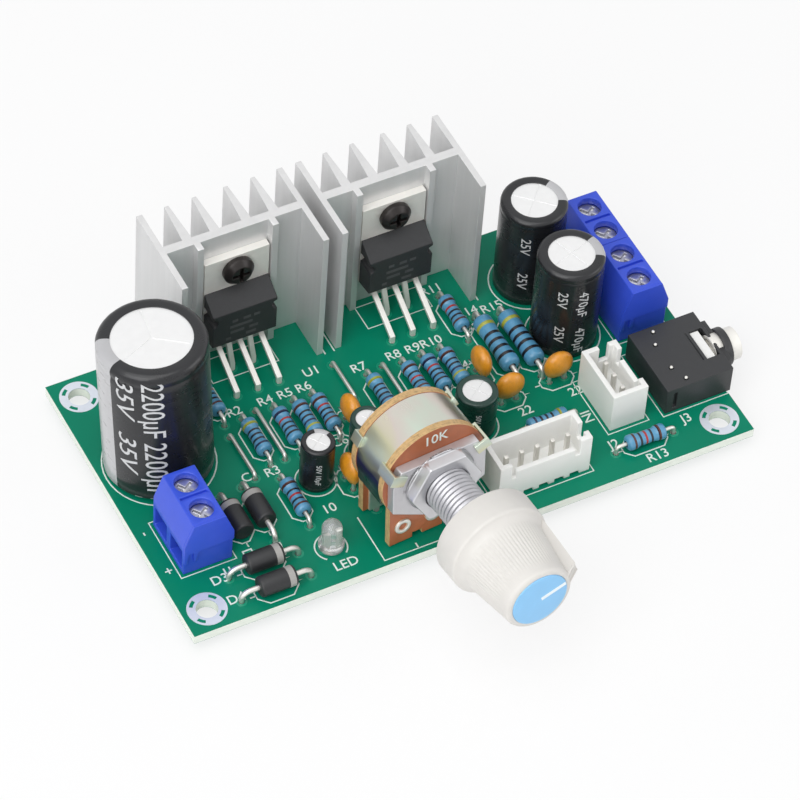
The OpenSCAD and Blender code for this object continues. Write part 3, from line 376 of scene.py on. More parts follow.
def ceramic_finish():
    """Dipped lacquer, runny and speckled."""
    tint = colours().ceramic
    finish = Finish("dipped_lacquer", Coat_Weight=0.4, Coat_Roughness=0.1)
    runs = finish.noise(0.8 * MM, 3.0, (1, 1, 2))
    speck = finish.noise(0.16 * MM, 2.0)
    finish.put("Base Color", finish.ramp(runs * 0.7 + speck * 0.3, [
        (0.25, shade(tint, 0.72)), (0.5, tint), (0.75, shade(tint, 1.18))]))
    finish.put("Roughness", 0.28 + speck * 0.18)
    finish.bump(runs, 0.12 * MM, 0.5)
    return finish


COVER_RISE = 8.4 * MM


def cover_finish():
    """Zinc passivation with thin colour films that drift from straw to green and violet."""
    tint = colours().passivation
    finish = Finish("coloured_zinc", Metallic=0.85)
    drift = finish.noise(3.2 * MM, 2.0, (1, 2.2, 1))
    axis_height = shaft_frame().translation.z
    rise = (finish.axis("Z") - axis_height) * (1 / COVER_RISE)
    straw = (tint[0], tint[1] * 0.95, tint[2] * 0.72)
    green = (tint[0] * 0.9, tint[1], tint[2] * 0.96)
    rose = (tint[0], tint[1] * 0.88, tint[2] * 0.9)
    finish.put("Base Color", finish.ramp(rise * 0.6 + 0.3 + (drift - 0.5) * 0.28, [
        (0.06, srgb(96, 100, 98)), (0.2, srgb(50, 44, 84)), (0.36, srgb(76, 62, 122)), (0.44, straw),
        (0.56, green), (0.68, straw), (0.78, rose), (0.9, green)]))
    finish.put("Roughness", 0.22 + drift * 0.14)
    finish.bump(finish.noise(0.3 * MM, 2.0), 0.008 * MM, 0.3)
    return finish


def phenolic_finish():
    """Brown laminated board with pale cut edges."""
    c = colours()
    finish = Finish("phenolic_board", Coat_Weight=0.15, Coat_Roughness=0.2)
    along = shaft_frame().col[1].xyz
    facing = finish.value("ShaderNodeVectorMath", {"operation": "DOT_PRODUCT"}, {
        0: finish.node("ShaderNodeNewGeometry").outputs["Normal"], 1: tuple(along)}, "Value")
    face = abs(facing) > 0.8
    cloud = finish.noise(1.6 * MM, 3.0)
    layers = finish.noise(0.14 * MM, 2.0, (20, 1, 20))
    brown = finish.mix(cloud, shade(c.phenolic, 0.8), shade(c.phenolic, 1.18))
    grain = finish.noise(0.5 * MM, 3.0)
    tan = finish.ramp(layers * 0.5 + grain * 0.5, [
        (0.32, shade(c.phenolic_edge, 0.5)), (0.5, c.phenolic_edge), (0.7, shade(c.phenolic_edge, 1.2))])
    finish.put("Base Color", finish.mix(face, tan, brown))
    finish.put("Roughness", 0.34 + cloud * 0.16)
    finish.bump(layers, 0.02 * MM, 0.3)
    return finish


def lens_finish():
    """Water clear epoxy, whitened by a painted sheen: a white share without transmission lightens the whole
    lens.
    """
    finish = Finish("clear_epoxy", Transmission_Weight=0.78, IOR=1.5)
    haze = finish.noise(0.8 * MM, 2.0)
    # Painted sheen: the near white base, seen in the share without transmission, lightens the lens.
    finish.put("Base Color", finish.mix(haze, (0.95, 0.97, 0.97), (1, 1, 1)))
    finish.put("Roughness", 0.05 + haze * 0.06)
    return finish


FINISH_MAKERS = {
    "board": board_finish,
    "heatsink": sink_finish,
    "cover": cover_finish,
    "phenolic": phenolic_finish,
    "lens": lens_finish,
    "ceramic": ceramic_finish,
    "resistor": lambda: painted_finish("banded_lacquer", 0.26, 0.3),
    "diode": lambda: painted_finish("banded_moulding", 0.42, 0.0),
    "sleeve_black": lambda: sleeve_finish("black_sleeve", colours().sleeve),
    "sleeve_green": lambda: sleeve_finish("green_sleeve", colours().green_sleeve),
    "ink": lambda: mottled("white_ink", colours().ink, 0.55, spread=0.05, grain=0.2),
    "faint_ink": lambda: mottled("faint_ink", srgb(74, 75, 76), 0.6, spread=0.2, grain=0.2),
    "grey_ink": lambda: mottled("grey_ink", srgb(206, 207, 208), 0.5, spread=0.08, grain=0.2),
    "ring": lambda: mottled("tinned_ring", srgb(216, 222, 232), 0.42, metal=0.55, grain=0.3, spread=0.06),
    "pad": lambda: mottled("masked_pad", shade(colours().mask, 1.25), 0.3, grain=0.3),
    "solder": lambda: mottled("bright_solder", srgb(204, 205, 208), 0.24, metal=1.0, grain=0.5),
    "tinned": lambda: mottled("tinned_metal", colours().tin, 0.34, metal=0.75, grain=0.25, spread=0.08),
    "plated": lambda: mottled("nickel_plate", srgb(206, 206, 209), 0.32, metal=0.8, grain=0.5,
                              spread=0.06, depth=0.004),
    "thread": lambda: mottled("cut_thread", srgb(176, 176, 180), 0.4, metal=0.7, grain=0.3, spread=0.1),
    "tab": lambda: mottled("bright_tab", srgb(240, 238, 232), 0.42, metal=0.35, grain=0.3, spread=0.05),
    "pointer": lambda: mottled("white_pointer", srgb(244, 250, 253), 0.5, grain=0.2, spread=0.02),
    "zinc": lambda: mottled("zinc_casting", srgb(202, 201, 204), 0.42, metal=0.65, grain=0.4, spread=0.1,
                            depth=0.02),
    "can": lambda: mottled("pressed_aluminium", srgb(236, 236, 236), 0.45, metal=0.5, grain=0.3,
                           spread=0.04),
    "dark_steel": lambda: mottled("blackened_steel", srgb(44, 40, 39), 0.34, metal=0.5, grain=0.25,
                                  spread=0.25),
    "chip_case": lambda: mottled("epoxy_moulding", colours().moulding, 0.55, grain=0.14, spread=0.14,
                                 depth=0.02),
    "jack": lambda: mottled("black_moulding", shade(colours().moulding, 1.25), 0.46, grain=0.2,
                            spread=0.1),
    "seal": lambda: mottled("black_rubber", srgb(30, 30, 30), 0.7, grain=0.2),
    "terminal": lambda: mottled("blue_moulding", colours().terminal, 0.36, grain=0.5, spread=0.06),
    "white_plastic": lambda: mottled("white_nylon", colours().nylon, 0.4, grain=0.6, spread=0.03,
                                     Subsurface_Weight=0.08, Subsurface_Radius=(0.001, 0.001, 0.001)),
    "knob": lambda: mottled("pale_moulding", colours().knob, 0.46, grain=0.35, spread=0.03),
    "knob_cap": lambda: mottled("blue_cap", colours().cap, 0.34, grain=0.5, spread=0.05),
}


# Meshes

def linked(name, data):
    """Object of a mesh, curve, lamp or camera in the scene."""
    obj = bpy.data.objects.new(name, data)
    bpy.context.scene.collection.objects.link(obj)
    return obj


def add_piece(name, mesh, finish, stands_for=(), body=None, slot=None):
    """Adds a finished mesh, on the body of the node that it stands for or adorns."""
    obj = linked(name, mesh)
    if finish:
        mesh.materials.clear()
        mesh.materials.append(finish_of(finish).material)
    stands_for = (stands_for,) if isinstance(stands_for, str) else tuple(stands_for)
    if stands_for:
        body = body or BODY_OF[stands_for[0]]
        slot = slot or SLOT_OF[stands_for[0]]
        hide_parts(*stands_for)
    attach(obj, body or "board")
    return obj


def dress(node, finish=None):
    """Gives a CAD node that keeps its shape a finish."""
    mesh = NODES[node].data
    mesh.materials.clear()
    mesh.materials.append(finish_of(finish or SLOT_OF[node]).material)


def settled(obj):
    """Plain mesh of an object with its modifiers applied. The object itself is removed."""
    depsgraph = bpy.context.evaluated_depsgraph_get()
    mesh = bpy.data.meshes.new_from_object(obj.evaluated_get(depsgraph), depsgraph=depsgraph)
    bpy.data.objects.remove(obj)
    return mesh


def mesh_from(bm, name):
    mesh = bpy.data.meshes.new(name)
    bm.to_mesh(mesh)
    bm.free()
    return mesh


def smooth(mesh, angle=SHARP_ANGLE):
    mesh.shade_smooth()
    mesh.set_sharp_from_angle(angle=angle)
    return mesh


def merged(node):
    """Welded copy of a CAD node with its flat faces joined."""
    bm = bmesh.new()
    bm.from_mesh(NODES[node].data)
    bmesh.ops.remove_doubles(bm, verts=bm.verts, dist=WELD)
    bmesh.ops.dissolve_limit(bm, angle_limit=FLAT_ANGLE, verts=bm.verts, edges=bm.edges)
    return bm


def rounded(bm, name, width, segments=2):
    """Mesh of bm with its sharp edges rounded and its flat faces shaded flat."""
    sharp = [e for e in bm.edges if len(e.link_faces) == 2 and e.calc_face_angle(0) > SHARP_ANGLE]
    bmesh.ops.bevel(bm, geom=sharp, offset=width, offset_type="OFFSET", segments=segments,
                    profile=0.5, affect="EDGES", clamp_overlap=False)
    bmesh.ops.triangulate(bm, faces=[f for f in bm.faces if len(f.verts) > 4])
    mesh = smooth(mesh_from(bm, name), FORM_ANGLE)
    holder = linked(name, mesh)
    holder.modifiers.new("weights", "WEIGHTED_NORMAL").keep_sharp = True
    return settled(holder)


def soften(node, width, finish=None):
    """Rounded copy of a CAD node as the piece that stands for it."""
    mesh = rounded(merged(node), node + "_form", width)
    return add_piece(node + "_form", mesh, finish or SLOT_OF[node], node)


def raise_faces(bm, height):
    """Turns flat faces into closed plates of a height."""
    made = bmesh.ops.extrude_face_region(bm, geom=bm.faces[:])["geom"]
    upper = [g for g in made if isinstance(g, bmesh.types.BMVert)]
    bmesh.ops.translate(bm, verts=upper, vec=(0, 0, height))
    bmesh.ops.recalc_face_normals(bm, faces=bm.faces)


def plate_of(outline, height, start=0.0):
    """Plate of an outline in X and Y, raised by a height from a start."""
    bm = bmesh.new()
    bm.faces.new([bm.verts.new((x, y, start)) for x, y in outline])
    raise_faces(bm, height)
    return bm


def add_block(bm, place, size):
    """Adds a block of a size in metres at a place."""
    bmesh.ops.create_cube(bm, size=1, matrix=place @ Matrix.Diagonal((*size, 1)))


def long_axis(box):
    """0 where a box is longer along X, 1 where it is longer along Y."""
    low, high = box
    return 0 if high.x - low.x > high.y - low.y else 1


def lying_places(boxes):
    """Centre and turn of each body that lies along X or Y."""
    return [((low + high) / 2, long_axis((low, high)) * RIGHT_ANGLE) for low, high in boxes]


def islands(node):
    """Boxes of the separate solids of a CAD node, as pairs of corners from left to right."""
    bm = bmesh.new()
    bm.from_mesh(NODES[node].data)
    bmesh.ops.remove_doubles(bm, verts=bm.verts, dist=WELD)
    seen = set()
    boxes = []
    for start in bm.verts:
        if start in seen:
            continue
        seen.add(start)
        group = [start]
        for vert in group:
            for edge in vert.link_edges:
                other = edge.other_vert(vert)
                if other not in seen:
                    seen.add(other)
                    group.append(other)
        points = [v.co for v in group]
        boxes.append((Vector([min(p[i] for p in points) for i in range(3)]),
                      Vector([max(p[i] for p in points) for i in range(3)])))
    bm.free()
    return sorted(boxes, key=lambda b: (round(b[0].x, 5), round(b[0].y, 5)))


def add_ring(bm, count, height, radius_at):
    """Ring of vertices about Z whose radius may change with the angle."""
    ring = []
    for i in range(count):
        angle = FULL_TURN * i / count
        radius = radius_at(angle)
        ring.append(bm.verts.new((radius * math.cos(angle), radius * math.sin(angle), height)))
    return ring


def skin(bm, rings, closed):
    """Faces from each ring to the next, and from the last to the first where closed."""
    count = len(rings[0])
    for low, high in zip(rings, rings[1:] + rings[:1] if closed else rings[1:]):
        for i in range(count):
            j = (i + 1) % count
            corners = list(dict.fromkeys((low[i], low[j], high[j], high[i])))
            if len(corners) > 2:
                bm.faces.new(corners)
    bmesh.ops.recalc_face_normals(bm, faces=bm.faces)


def lathe(profile, segments, ribs=0, closed=False):
    """Mesh turned about Z from points of radius, height and rib depth."""
    bm = bmesh.new()
    rings = []
    for radius, height, *depth in profile:
        if radius < WELD:
            rings.append([bm.verts.new((0, 0, height))] * segments)
        else:
            half = depth[0] / 2 if depth else 0.0
            rings.append(add_ring(bm, segments, height,
                                  lambda a, r=radius, h=half: r - h * (1 - math.cos(ribs * a))))
    skin(bm, rings, closed)
    return bm


def arc(centre, radius, start, end, steps):
    """Points of an arc in degrees, as pairs."""
    return [(centre[0] + radius * math.cos(math.radians(start + (end - start) * i / steps)),
             centre[1] + radius * math.sin(math.radians(start + (end - start) * i / steps)))
            for i in range(steps + 1)]


def paint_faces(mesh, tint_at):
    """Writes a colour to each face by its centre."""
    layer = mesh.attributes.new("paint", "FLOAT_COLOR", "FACE")
    for face in mesh.polygons:
        layer.data[face.index].color = (*tint_at(face.center), 1)


def joined(meshes, name):
    """One mesh of several, with their attributes."""
    holders = [linked(name, m) for m in meshes]
    with bpy.context.temp_override(active_object=holders[0], selected_editable_objects=holders,
                                   selected_objects=holders, object=holders[0]):
        bpy.ops.object.join()
    mesh = holders[0].data
    bpy.data.objects.remove(holders[0])
    return mesh


# Geometry node trees

class Tree(Nodes):
    """A geometry node tree with named inputs."""

    def __init__(self, name, **sockets):
        super().__init__(bpy.data.node_groups.new(name, "GeometryNodeTree"))
        face = self.tree.interface
        for way in ("OUTPUT", "INPUT"):
            face.new_socket("Geometry", in_out=way, socket_type="NodeSocketGeometry")
        for socket, kind in sockets.items():
            face.new_socket(socket, in_out="INPUT", socket_type="NodeSocket" + kind)
        self.source = self.node("NodeGroupInput")
        self.result = self.node("NodeGroupOutput")

    def given(self, name):
        return self.source.outputs[name]

    def close(self, geometry):
        """Realizes the copies and gives them their finish."""
        real = self.node("GeometryNodeRealizeInstances", None, {"Geometry": geometry})
        done = self.node("GeometryNodeSetMaterial", None, {
            "Geometry": real.outputs[0], "Material": self.given("Finish")})
        self.tree.links.new(done.outputs[0], self.result.inputs[0])
        return self.tree


def copies_tree():
    """Copies of a part on points, each turned about Z by the point's own angle."""
    tree = Tree("Placed copies", Part="Object", Finish="Material")
    part = tree.node("GeometryNodeObjectInfo", None, {"Object": tree.given("Part")})
    angle = tree.node("GeometryNodeInputNamedAttribute", {"data_type": "FLOAT"}, {"Name": "turn"})
    turn = tree.node("ShaderNodeCombineXYZ", None, {"Z": angle.outputs["Attribute"]})
    euler = tree.node("FunctionNodeEulerToRotation", None, {0: turn.outputs[0]})
    placed = tree.node("GeometryNodeInstanceOnPoints", None, {
        "Points": tree.given("Geometry"), "Instance": part.outputs["Geometry"],
        "Rotation": euler.outputs[0]})
    return tree.close(placed.outputs[0])


def wires_tree():
    """Round wire of a radius swept along each path."""
    tree = Tree("Swept wire", Radius="Float", Finish="Material")
    path = tree.node("GeometryNodeMeshToCurve", None, {"Mesh": tree.given("Geometry")})
    ring = tree.node("GeometryNodeCurvePrimitiveCircle", None, {
        "Resolution": 12, "Radius": tree.given("Radius")})
    swept = tree.node("GeometryNodeCurveToMesh", None, {
        "Curve": path.outputs[0], "Profile Curve": ring.outputs[0], "Fill Caps": True})
    return tree.close(swept.outputs[0])


def print_tree():
    """Flat printed line of a width and height swept along each path."""
    tree = Tree("Printed line", Width="Float", Height="Float", Finish="Material")
    path = tree.node("GeometryNodeMeshToCurve", None, {"Mesh": tree.given("Geometry")})
    level = tree.node("GeometryNodeSetCurveNormal", {"mode": "Z_UP"}, {"Curve": path.outputs[0]})
    section = tree.node("GeometryNodeCurvePrimitiveQuadrilateral", None, {
        "Width": tree.given("Width"), "Height": tree.given("Height")})
    swept = tree.node("GeometryNodeCurveToMesh", None, {
        "Curve": level.outputs[0], "Profile Curve": section.outputs[0], "Fill Caps": True})
    return tree.close(swept.outputs[0])


TREES = {}


def run_tree(maker, mesh, finish, **inputs):
    """Plain mesh that a tree makes of a mesh."""
    if maker not in TREES:
        TREES[maker] = maker()
    tree = TREES[maker]
    holder = linked("holder", mesh)
    modifier = holder.modifiers.new("tree", "NODES")
    modifier.node_group = tree
    inputs["Finish"] = finish_of(finish).material
    for item in tree.interface.items_tree:
        if item.in_out == "INPUT" and item.name in inputs:
            modifier[item.identifier] = inputs[item.name]
    return settled(holder)


def copies(template, places, finish):
    """Mesh of a template at places of point and turn."""
    part = linked("part", template)
    points = bpy.data.meshes.new("points")
    points.from_pydata([p for p, _ in places], [], [])
    turns = points.attributes.new("turn", "FLOAT", "POINT")
    turns.data.foreach_set("value", [t for _, t in places])
    mesh = run_tree(copies_tree, points, finish, Part=part)
    bpy.data.objects.remove(part)
    return mesh


def paths_mesh(paths):
    """Mesh of edges along several paths. A path that ends where it starts is closed."""
    points = []
    edges = []
    for path in paths:
        loop = (Vector(path[0]) - Vector(path[-1])).length < WELD
        line = path[:-1] if loop else path
        first = len(points)
        points.extend(line)
        edges.extend((first + i, first + i + 1) for i in range(len(line) - 1))
        if loop:
            edges.append((first + len(line) - 1, first))
    mesh = bpy.data.meshes.new("paths")
    mesh.from_pydata(points, edges, [])
    return mesh


def wires(paths, radius, finish):
    return smooth(run_tree(wires_tree, paths_mesh(paths), finish, Radius=radius), ROUND_ANGLE)


def bent(start, corner, end, radius, steps=6):
    """Path from start to end with a round bend at the corner."""
    into = (Vector(start) - Vector(corner)).normalized()
    out = (Vector(end) - Vector(corner)).normalized()
    centre = Vector(corner) + (into + out) * radius
    path = [Vector(start)]
    for i in range(steps + 1):
        a = math.pi / 2 * i / steps
        path.append(centre - out * (radius * math.cos(a)) - into * (radius * math.sin(a)))
    path.append(Vector(end))
    return path


def letters(text, height, thickness=0.0, weight=0.0):
    """Mesh of a text, centred, with its height and stroke weight."""
    curve = bpy.data.curves.new("letters", "FONT")
    curve.body = text
    curve.size = height / CAPITAL_SHARE
    curve.align_x = "CENTER"
    curve.align_y = "CENTER"
    curve.extrude = thickness / 2
    curve.offset = weight * height
    curve.resolution_u = 3
    return settled(linked("letters", curve))


# Volume control's own frame: x to the right, y to the back, z up

def shaft_frame():
    joint = next(j for j in frame["joints"] if j["name"] == "knob_turn")
    back = -Vector(joint["axis"]).normalized()
    right = back.cross(Vector((0, 0, 1))).normalized()
    up = right.cross(back)
    turn = Matrix((right, back, up)).transposed().to_4x4()
    return Matrix.Translation(joint["pos_m"]) @ turn


def lathe_to_shaft():
    """Turns a lathe's Z axis to the front of the shaft."""
    return shaft_frame() @ Matrix.Rotation(RIGHT_ANGLE, 4, "X")


def in_shaft_frame(node):
    """Vertices of a node in the volume control's own frame."""
    inverse = shaft_frame().inverted()
    return [inverse @ v.co for v in NODES[node].data.vertices]


# Stage

CAMERA_AZIMUTH = math.radians(-30.72)
CAMERA_HEIGHT = math.radians(49.746)
CAMERA_ROLL = math.radians(-4.63)
CAMERA_DISTANCE = 694.6 * MM
CAMERA_TARGET = Vector((1.38, 2.55, 0)) * MM
CAMERA_LENS = 214.65
CAMERA_SENSOR = 36
LAMPS = (("left_softbox", (-0.55, -0.35, 0.5), 0.6, 3.0),
         ("top_softbox", (-0.2, -0.1, 0.8), 0.7, 2.6),
         ("right_softbox", (0.6, -0.4, 0.35), 0.4, 0.9))
WORLD_TINT = (0.98, 0.985, 1.0)
WORLD_LIGHT = 0.45
FLOOR_SIZE = 3.0
FLOOR_WHITE = 0.75


class StageOperator(bpy.types.Operator):
    """Camera, floor and soft studio light"""
    bl_idname = "amplifier.stage"
    bl_label = "Stage"

    def execute(self, context):
        self.camera(context)
        self.floor()
        self.lights()
        self.world(context)
        context.scene.view_settings.view_transform = "Standard"
        return {"FINISHED"}

    def camera(self, context):
        data = bpy.data.cameras.new("camera")
        data.lens = CAMERA_LENS
        data.sensor_width = CAMERA_SENSOR
        data.clip_start = 10 * MM
        data.clip_end = 100
        obj = linked("camera", data)
        flat = math.cos(CAMERA_HEIGHT)
        back = Vector((math.sin(CAMERA_AZIMUTH) * flat, -math.cos(CAMERA_AZIMUTH) * flat,
                       math.sin(CAMERA_HEIGHT)))
        obj.rotation_mode = "QUATERNION"
        obj.rotation_quaternion = ((-back).to_track_quat("-Z", "Y")
                                   @ Matrix.Rotation(-CAMERA_ROLL, 3, "Z").to_quaternion())
        obj.location = CAMERA_TARGET + back * CAMERA_DISTANCE
        context.scene.camera = obj

    def floor(self):
        bm = bmesh.new()
        bmesh.ops.create_grid(bm, x_segments=1, y_segments=1, size=FLOOR_SIZE)
        bm.transform(Matrix.Translation((0, 0, CAD_BOX[0].z)))
        obj = linked("floor", mesh_from(bm, "floor"))
        finish = Finish("pale_floor", Roughness=0.7, Specular_IOR_Level=0.2)
        grain = finish.noise(40 * MM, 2.0)
        tint = colours().floor
        finish.put("Base Color", finish.mix(grain, shade(tint, 0.99), shade(tint, 1.01)))
        white = finish.node("ShaderNodeEmission", None, {"Color": (1, 1, 1), "Strength": 1.0})
        both = finish.node("ShaderNodeMixShader", None, {
            0: finish.background_rays() * FLOOR_WHITE, 1: finish.shader.outputs[0], 2: white.outputs[0]})
        finish.feed(finish.tree.nodes["Material Output"].inputs["Surface"], both.outputs[0])
        obj.data.materials.append(finish.material)

    def lights(self):
        for name, place, size, power in LAMPS:
            data = bpy.data.lights.new(name, "AREA")
            data.shape = "SQUARE"
            data.size = size
            data.energy = power
            obj = linked(name, data)
            obj.location = place
            obj.rotation_mode = "QUATERNION"
            obj.rotation_quaternion = (-Vector(place)).to_track_quat("-Z", "Y")

    def world(self, context):
        world = bpy.data.worlds.new("studio")
        context.scene.world = world
        world.use_nodes = True
        sky = Nodes(world.node_tree)
        light = sky.node("ShaderNodeBackground", None, {"Color": WORLD_TINT, "Strength": WORLD_LIGHT})
        white = sky.node("ShaderNodeBackground", None, {"Color": (1, 1, 1), "Strength": 1.0})
        both = sky.node("ShaderNodeMixShader", None, {
            0: sky.background_rays(), 1: light.outputs[0], 2: white.outputs[0]})
        sky.feed(world.node_tree.nodes["World Output"].inputs["Surface"], both.outputs[0])


# Board

def spot(x, y, lift=0.0):
    """Point over the board, in millimetres from its front left corner."""
    return Vector((BOARD_LOW.x + x * MM, BOARD_LOW.y + y * MM, BOARD_TOP + lift))


FILTER_SPOT = (9.1, 30.7)
FILTER_RADIUS = 8 * MM


def circle_path(x, y, radius, start=0, end=360, steps=40):
    return [Vector((px, py, BOARD_TOP)) for px, py in arc((x, y), radius, start, end, steps)]


def box_path(low, high, margin):
    """Closed path round a footprint."""
    z = BOARD_TOP
    x0, y0, x1, y1 = low.x - margin, low.y - margin, high.x + margin, high.y + margin
    return [Vector(p) for p in ((x0, y0, z), (x1, y0, z), (x1, y1, z), (x0, y1, z), (x0, y0, z))]


def body_path(box, margin):
    """Outline round a lying body: rounded ends, with a short line to each lead."""
    low, high = box
    centre = (low + high) / 2
    along = long_axis(box)
    half = (high[along] - low[along]) / 2 + margin
    wide = (high[1 - along] - low[1 - along]) / 2 + margin
    bow = wide * 0.7
    tail = half + 0.9 * MM
    flat = [(-tail, 0), (-half, 0), (-half, -wide + bow), (-half + bow, -wide), (half - bow, -wide),
            (half, -wide + bow), (half, 0), (tail, 0), (half, 0), (half, wide - bow),
            (half - bow, wide), (-half + bow, wide), (-half, wide - bow), (-half, 0)]
    path = []
    for u, v in flat:
        point = Vector((centre.x, centre.y, BOARD_TOP))
        point[along] += u
        point[1 - along] += v
        path.append(point)
    return path


class BoardOperator(bpy.types.Operator):
    """Green board with its white print, hole rings and pads"""
    bl_idname = "amplifier.board"
    bl_label = "Board"

    SLOT_INSET = 0.42 * MM
    SLOT_RIM = 0.36 * MM
    SLOT_HALF = math.radians(17)
    RING_PARTS = 72
    PAD_PROFILE = ((0.46, 0.0), (0.85, 0.0), (0.82, 0.02), (0.48, 0.02))
    FILTER_MARGIN = 0.25 * MM
    ROUND_MARGINS = (("output_capacitor_sleeves", 0.6), ("bypass_capacitor_sleeve", 0.5),
                     ("coupling_capacitor_sleeves", 0.5))
    BODY_MARGIN = 0.42 * MM
    CERAMIC_MARGIN = 0.35 * MM
    BOX_MARGINS = (("terminal_housing_1", 0.45), ("terminal_housing_2", 0.45), ("terminal_housing_3", 0.45),
                   ("volume_header", 0.5), ("input_header", 0.5), ("jack_housing", 0.4))
    EDGE_MARGIN = 0.5 * MM
    LAMP_RING = 2.35 * MM
    CHIP_FRONT = 1.2 * MM
    SINK_MARGIN = 0.3 * MM
    BACK_MARGIN = 0.4 * MM
    UPRIGHT_LABEL = (-0.4 * MM, 3.3 * MM)
    LEVEL_LABEL = (0.6 * MM, -1.7 * MM)
    LABEL_WEIGHT = 0.008
    CONTROL_LINES = (((30.2, 9.5), (30.2, 0.9), (47.6, 0.9), (47.6, 9.5)), ((35.6, 0.9), (35.6, 1.9)))
    LABELS = (("C1", 19.6, 22.6, 0), ("C2", 30.3, 20.2, 0), ("C4", 56.7, 28.3, 0), ("C6", 34.2, 23.0, 0),
              ("D1", 13.2, 9.6, -90), ("D2", 17.4, 8.9, -90), ("D3", 7.6, 7.6, 0), ("D4", 8.2, 3.6, 0),
              ("J1", 9.4, 8.3, 0), ("J2", 70.0, 6.0, 0), ("J3", 82.0, 5.9, 0), ("J4", 49.8, 1.7, 0),
              ("LED", 25.0, 2.7, 0), ("U1", 36.4, 36.6, 0), ("U2", 61.6, 34.2, 0),
              ("IN", 68.9, 12.2, -90), ("+", 1.6, 12.0, -90), ("-", 1.6, 19.4, -90),
              ("10", 27.3, 12.6, 0), ("22", 61.4, 16.9, 0), ("22", 69.8, 17.2, 0))

    def execute(self, context):
        dress("circuit_board")
        dress("solder_joints")
        dress("small_solder_joints")
        self.rings()
        self.pads()
        self.outlines()
        self.names()
        return {"FINISHED"}

    def rings(self):
        """Tinned rings round the mounting holes, each with four slots at the diagonals."""
        s = sizes()
        hole = next(m for m in frame["record"]["mounts"] if m["kind"] == "bolt_pattern")
        inner = hole["dims"]["hole_r_mm"] * MM
        outer = s.ring_radius
        slot_in, slot_out = inner + self.SLOT_INSET, outer - self.SLOT_RIM
        parts = self.RING_PARTS
        bm = bmesh.new()
        grid = [add_ring(bm, parts, 0, lambda _, r=r: r) for r in (inner, slot_in, slot_out, outer)]
        for i in range(parts):
            middle = FULL_TURN * (i + 0.5) / parts
            in_slot = abs(middle % RIGHT_ANGLE - RIGHT_ANGLE / 2) < self.SLOT_HALF
            j = (i + 1) % parts
            for k in range(3):
                if not (k == 1 and in_slot):
                    bm.faces.new((grid[k][i], grid[k + 1][i], grid[k + 1][j], grid[k][j]))
        raise_faces(bm, s.ink_height)
        template = mesh_from(bm, "ring")
        dx = hole["dims"]["spacing_x_mm"] * MM / 2
        dy = hole["dims"]["spacing_y_mm"] * MM / 2
        places = [((x, y, BOARD_TOP), 0.0) for x in (-dx, dx) for y in (-dy, dy)]
        add_piece("hole_rings", copies(template, places, "ring"), "ring", slot="solder")

    def pads(self):
        """Raised pads under the lacquer, where leads go through the board."""
        bm = lathe([(r * MM, z * MM) for r, z in self.PAD_PROFILE], 20, closed=True)
        template = smooth(mesh_from(bm, "pad"))
        centres = [(low + high) / 2 for node in ("solder_joints", "small_solder_joints")
                   for low, high in islands(node)]
        top = [((c.x, c.y, BOARD_TOP), 0.0) for c in centres]
        add_piece("top_pads", copies(template, top, "pad"), "pad", slot="board")

    def outlines(self):
        """White outlines round the parts."""
        s = sizes()
        paths = [circle_path(*spot(*FILTER_SPOT).xy, FILTER_RADIUS + self.FILTER_MARGIN)]
        for node, margin in self.ROUND_MARGINS:
            for low, high in islands(node):
                centre = (low + high) / 2
                paths.append(circle_path(centre.x, centre.y, (high.y - low.y) / 2 + margin * MM))
        for node in ("resistors", "power_resistors", "rectifier_diodes"):
            paths.extend(body_path(box, self.BODY_MARGIN) for box in islands(node))
        edge = BOARD_HIGH.x - self.EDGE_MARGIN
        for node, margin in self.BOX_MARGINS:
            low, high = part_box(node)
            paths.append(box_path(low, Vector((min(high.x, edge), high.y, high.z)), margin * MM))
        paths.extend(body_path(box, self.CERAMIC_MARGIN) for box in islands("ceramic_capacitors"))
        low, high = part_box("led_lens")
        centre = (low + high) / 2
        paths.append(circle_path(centre.x, centre.y, self.LAMP_RING, -50, 230))
        paths.extend(self.chip_paths())
        paths += [[spot(*p) for p in line] for line in self.CONTROL_LINES]
        mesh = run_tree(print_tree, paths_mesh(paths), "ink", Width=s.ink_width, Height=2 * s.ink_height)
        add_piece("board_outlines", mesh, "ink", slot="board")

    def chip_paths(self):
        """Boxes printed under the two chips and lines beside the heatsinks."""
        paths = []
        for side in ("left", "right"):
            low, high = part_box("amplifier_case_" + side)
            corner = Vector((low.x - self.SINK_MARGIN, low.y - self.CHIP_FRONT, 0))
            paths.append(box_path(corner, high, 0))
            sink_low, sink_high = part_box("heatsink_" + side)
            back = BOARD_HIGH.y - self.BACK_MARGIN
            front = sink_low.y - self.SINK_MARGIN
            for x in (sink_low.x - self.SINK_MARGIN, sink_high.x + self.SINK_MARGIN):
                paths.append([Vector((x, y, BOARD_TOP)) for y in (front, back)])
        return paths

    def names(self):
        """Plain part numbers and signs beside the parts."""
        s = sizes()
        labels = [(text, *spot(x, y).xy, turn) for text, x, y, turn in self.LABELS]
        for i, box in enumerate(islands("resistors") + islands("power_resistors"), 1):
            low, high = box
            along, away = self.UPRIGHT_LABEL if long_axis(box) else self.LEVEL_LABEL
            edge = high.y if away > 0 else low.y
            labels.append((f"R{i}", (low.x + high.x) / 2 + along, edge + away, 0))
        meshes = []
        for text, x, y, turn in labels:
            mesh = letters(text, s.letter, s.ink_height, self.LABEL_WEIGHT)
            place = Matrix.Translation((x, y, BOARD_TOP + s.ink_height / 2))
            mesh.transform(place @ Matrix.Rotation(math.radians(turn), 4, "Z"))
            meshes.append(mesh)
        add_piece("board_names", joined(meshes, "board_names"), "ink", slot="board")


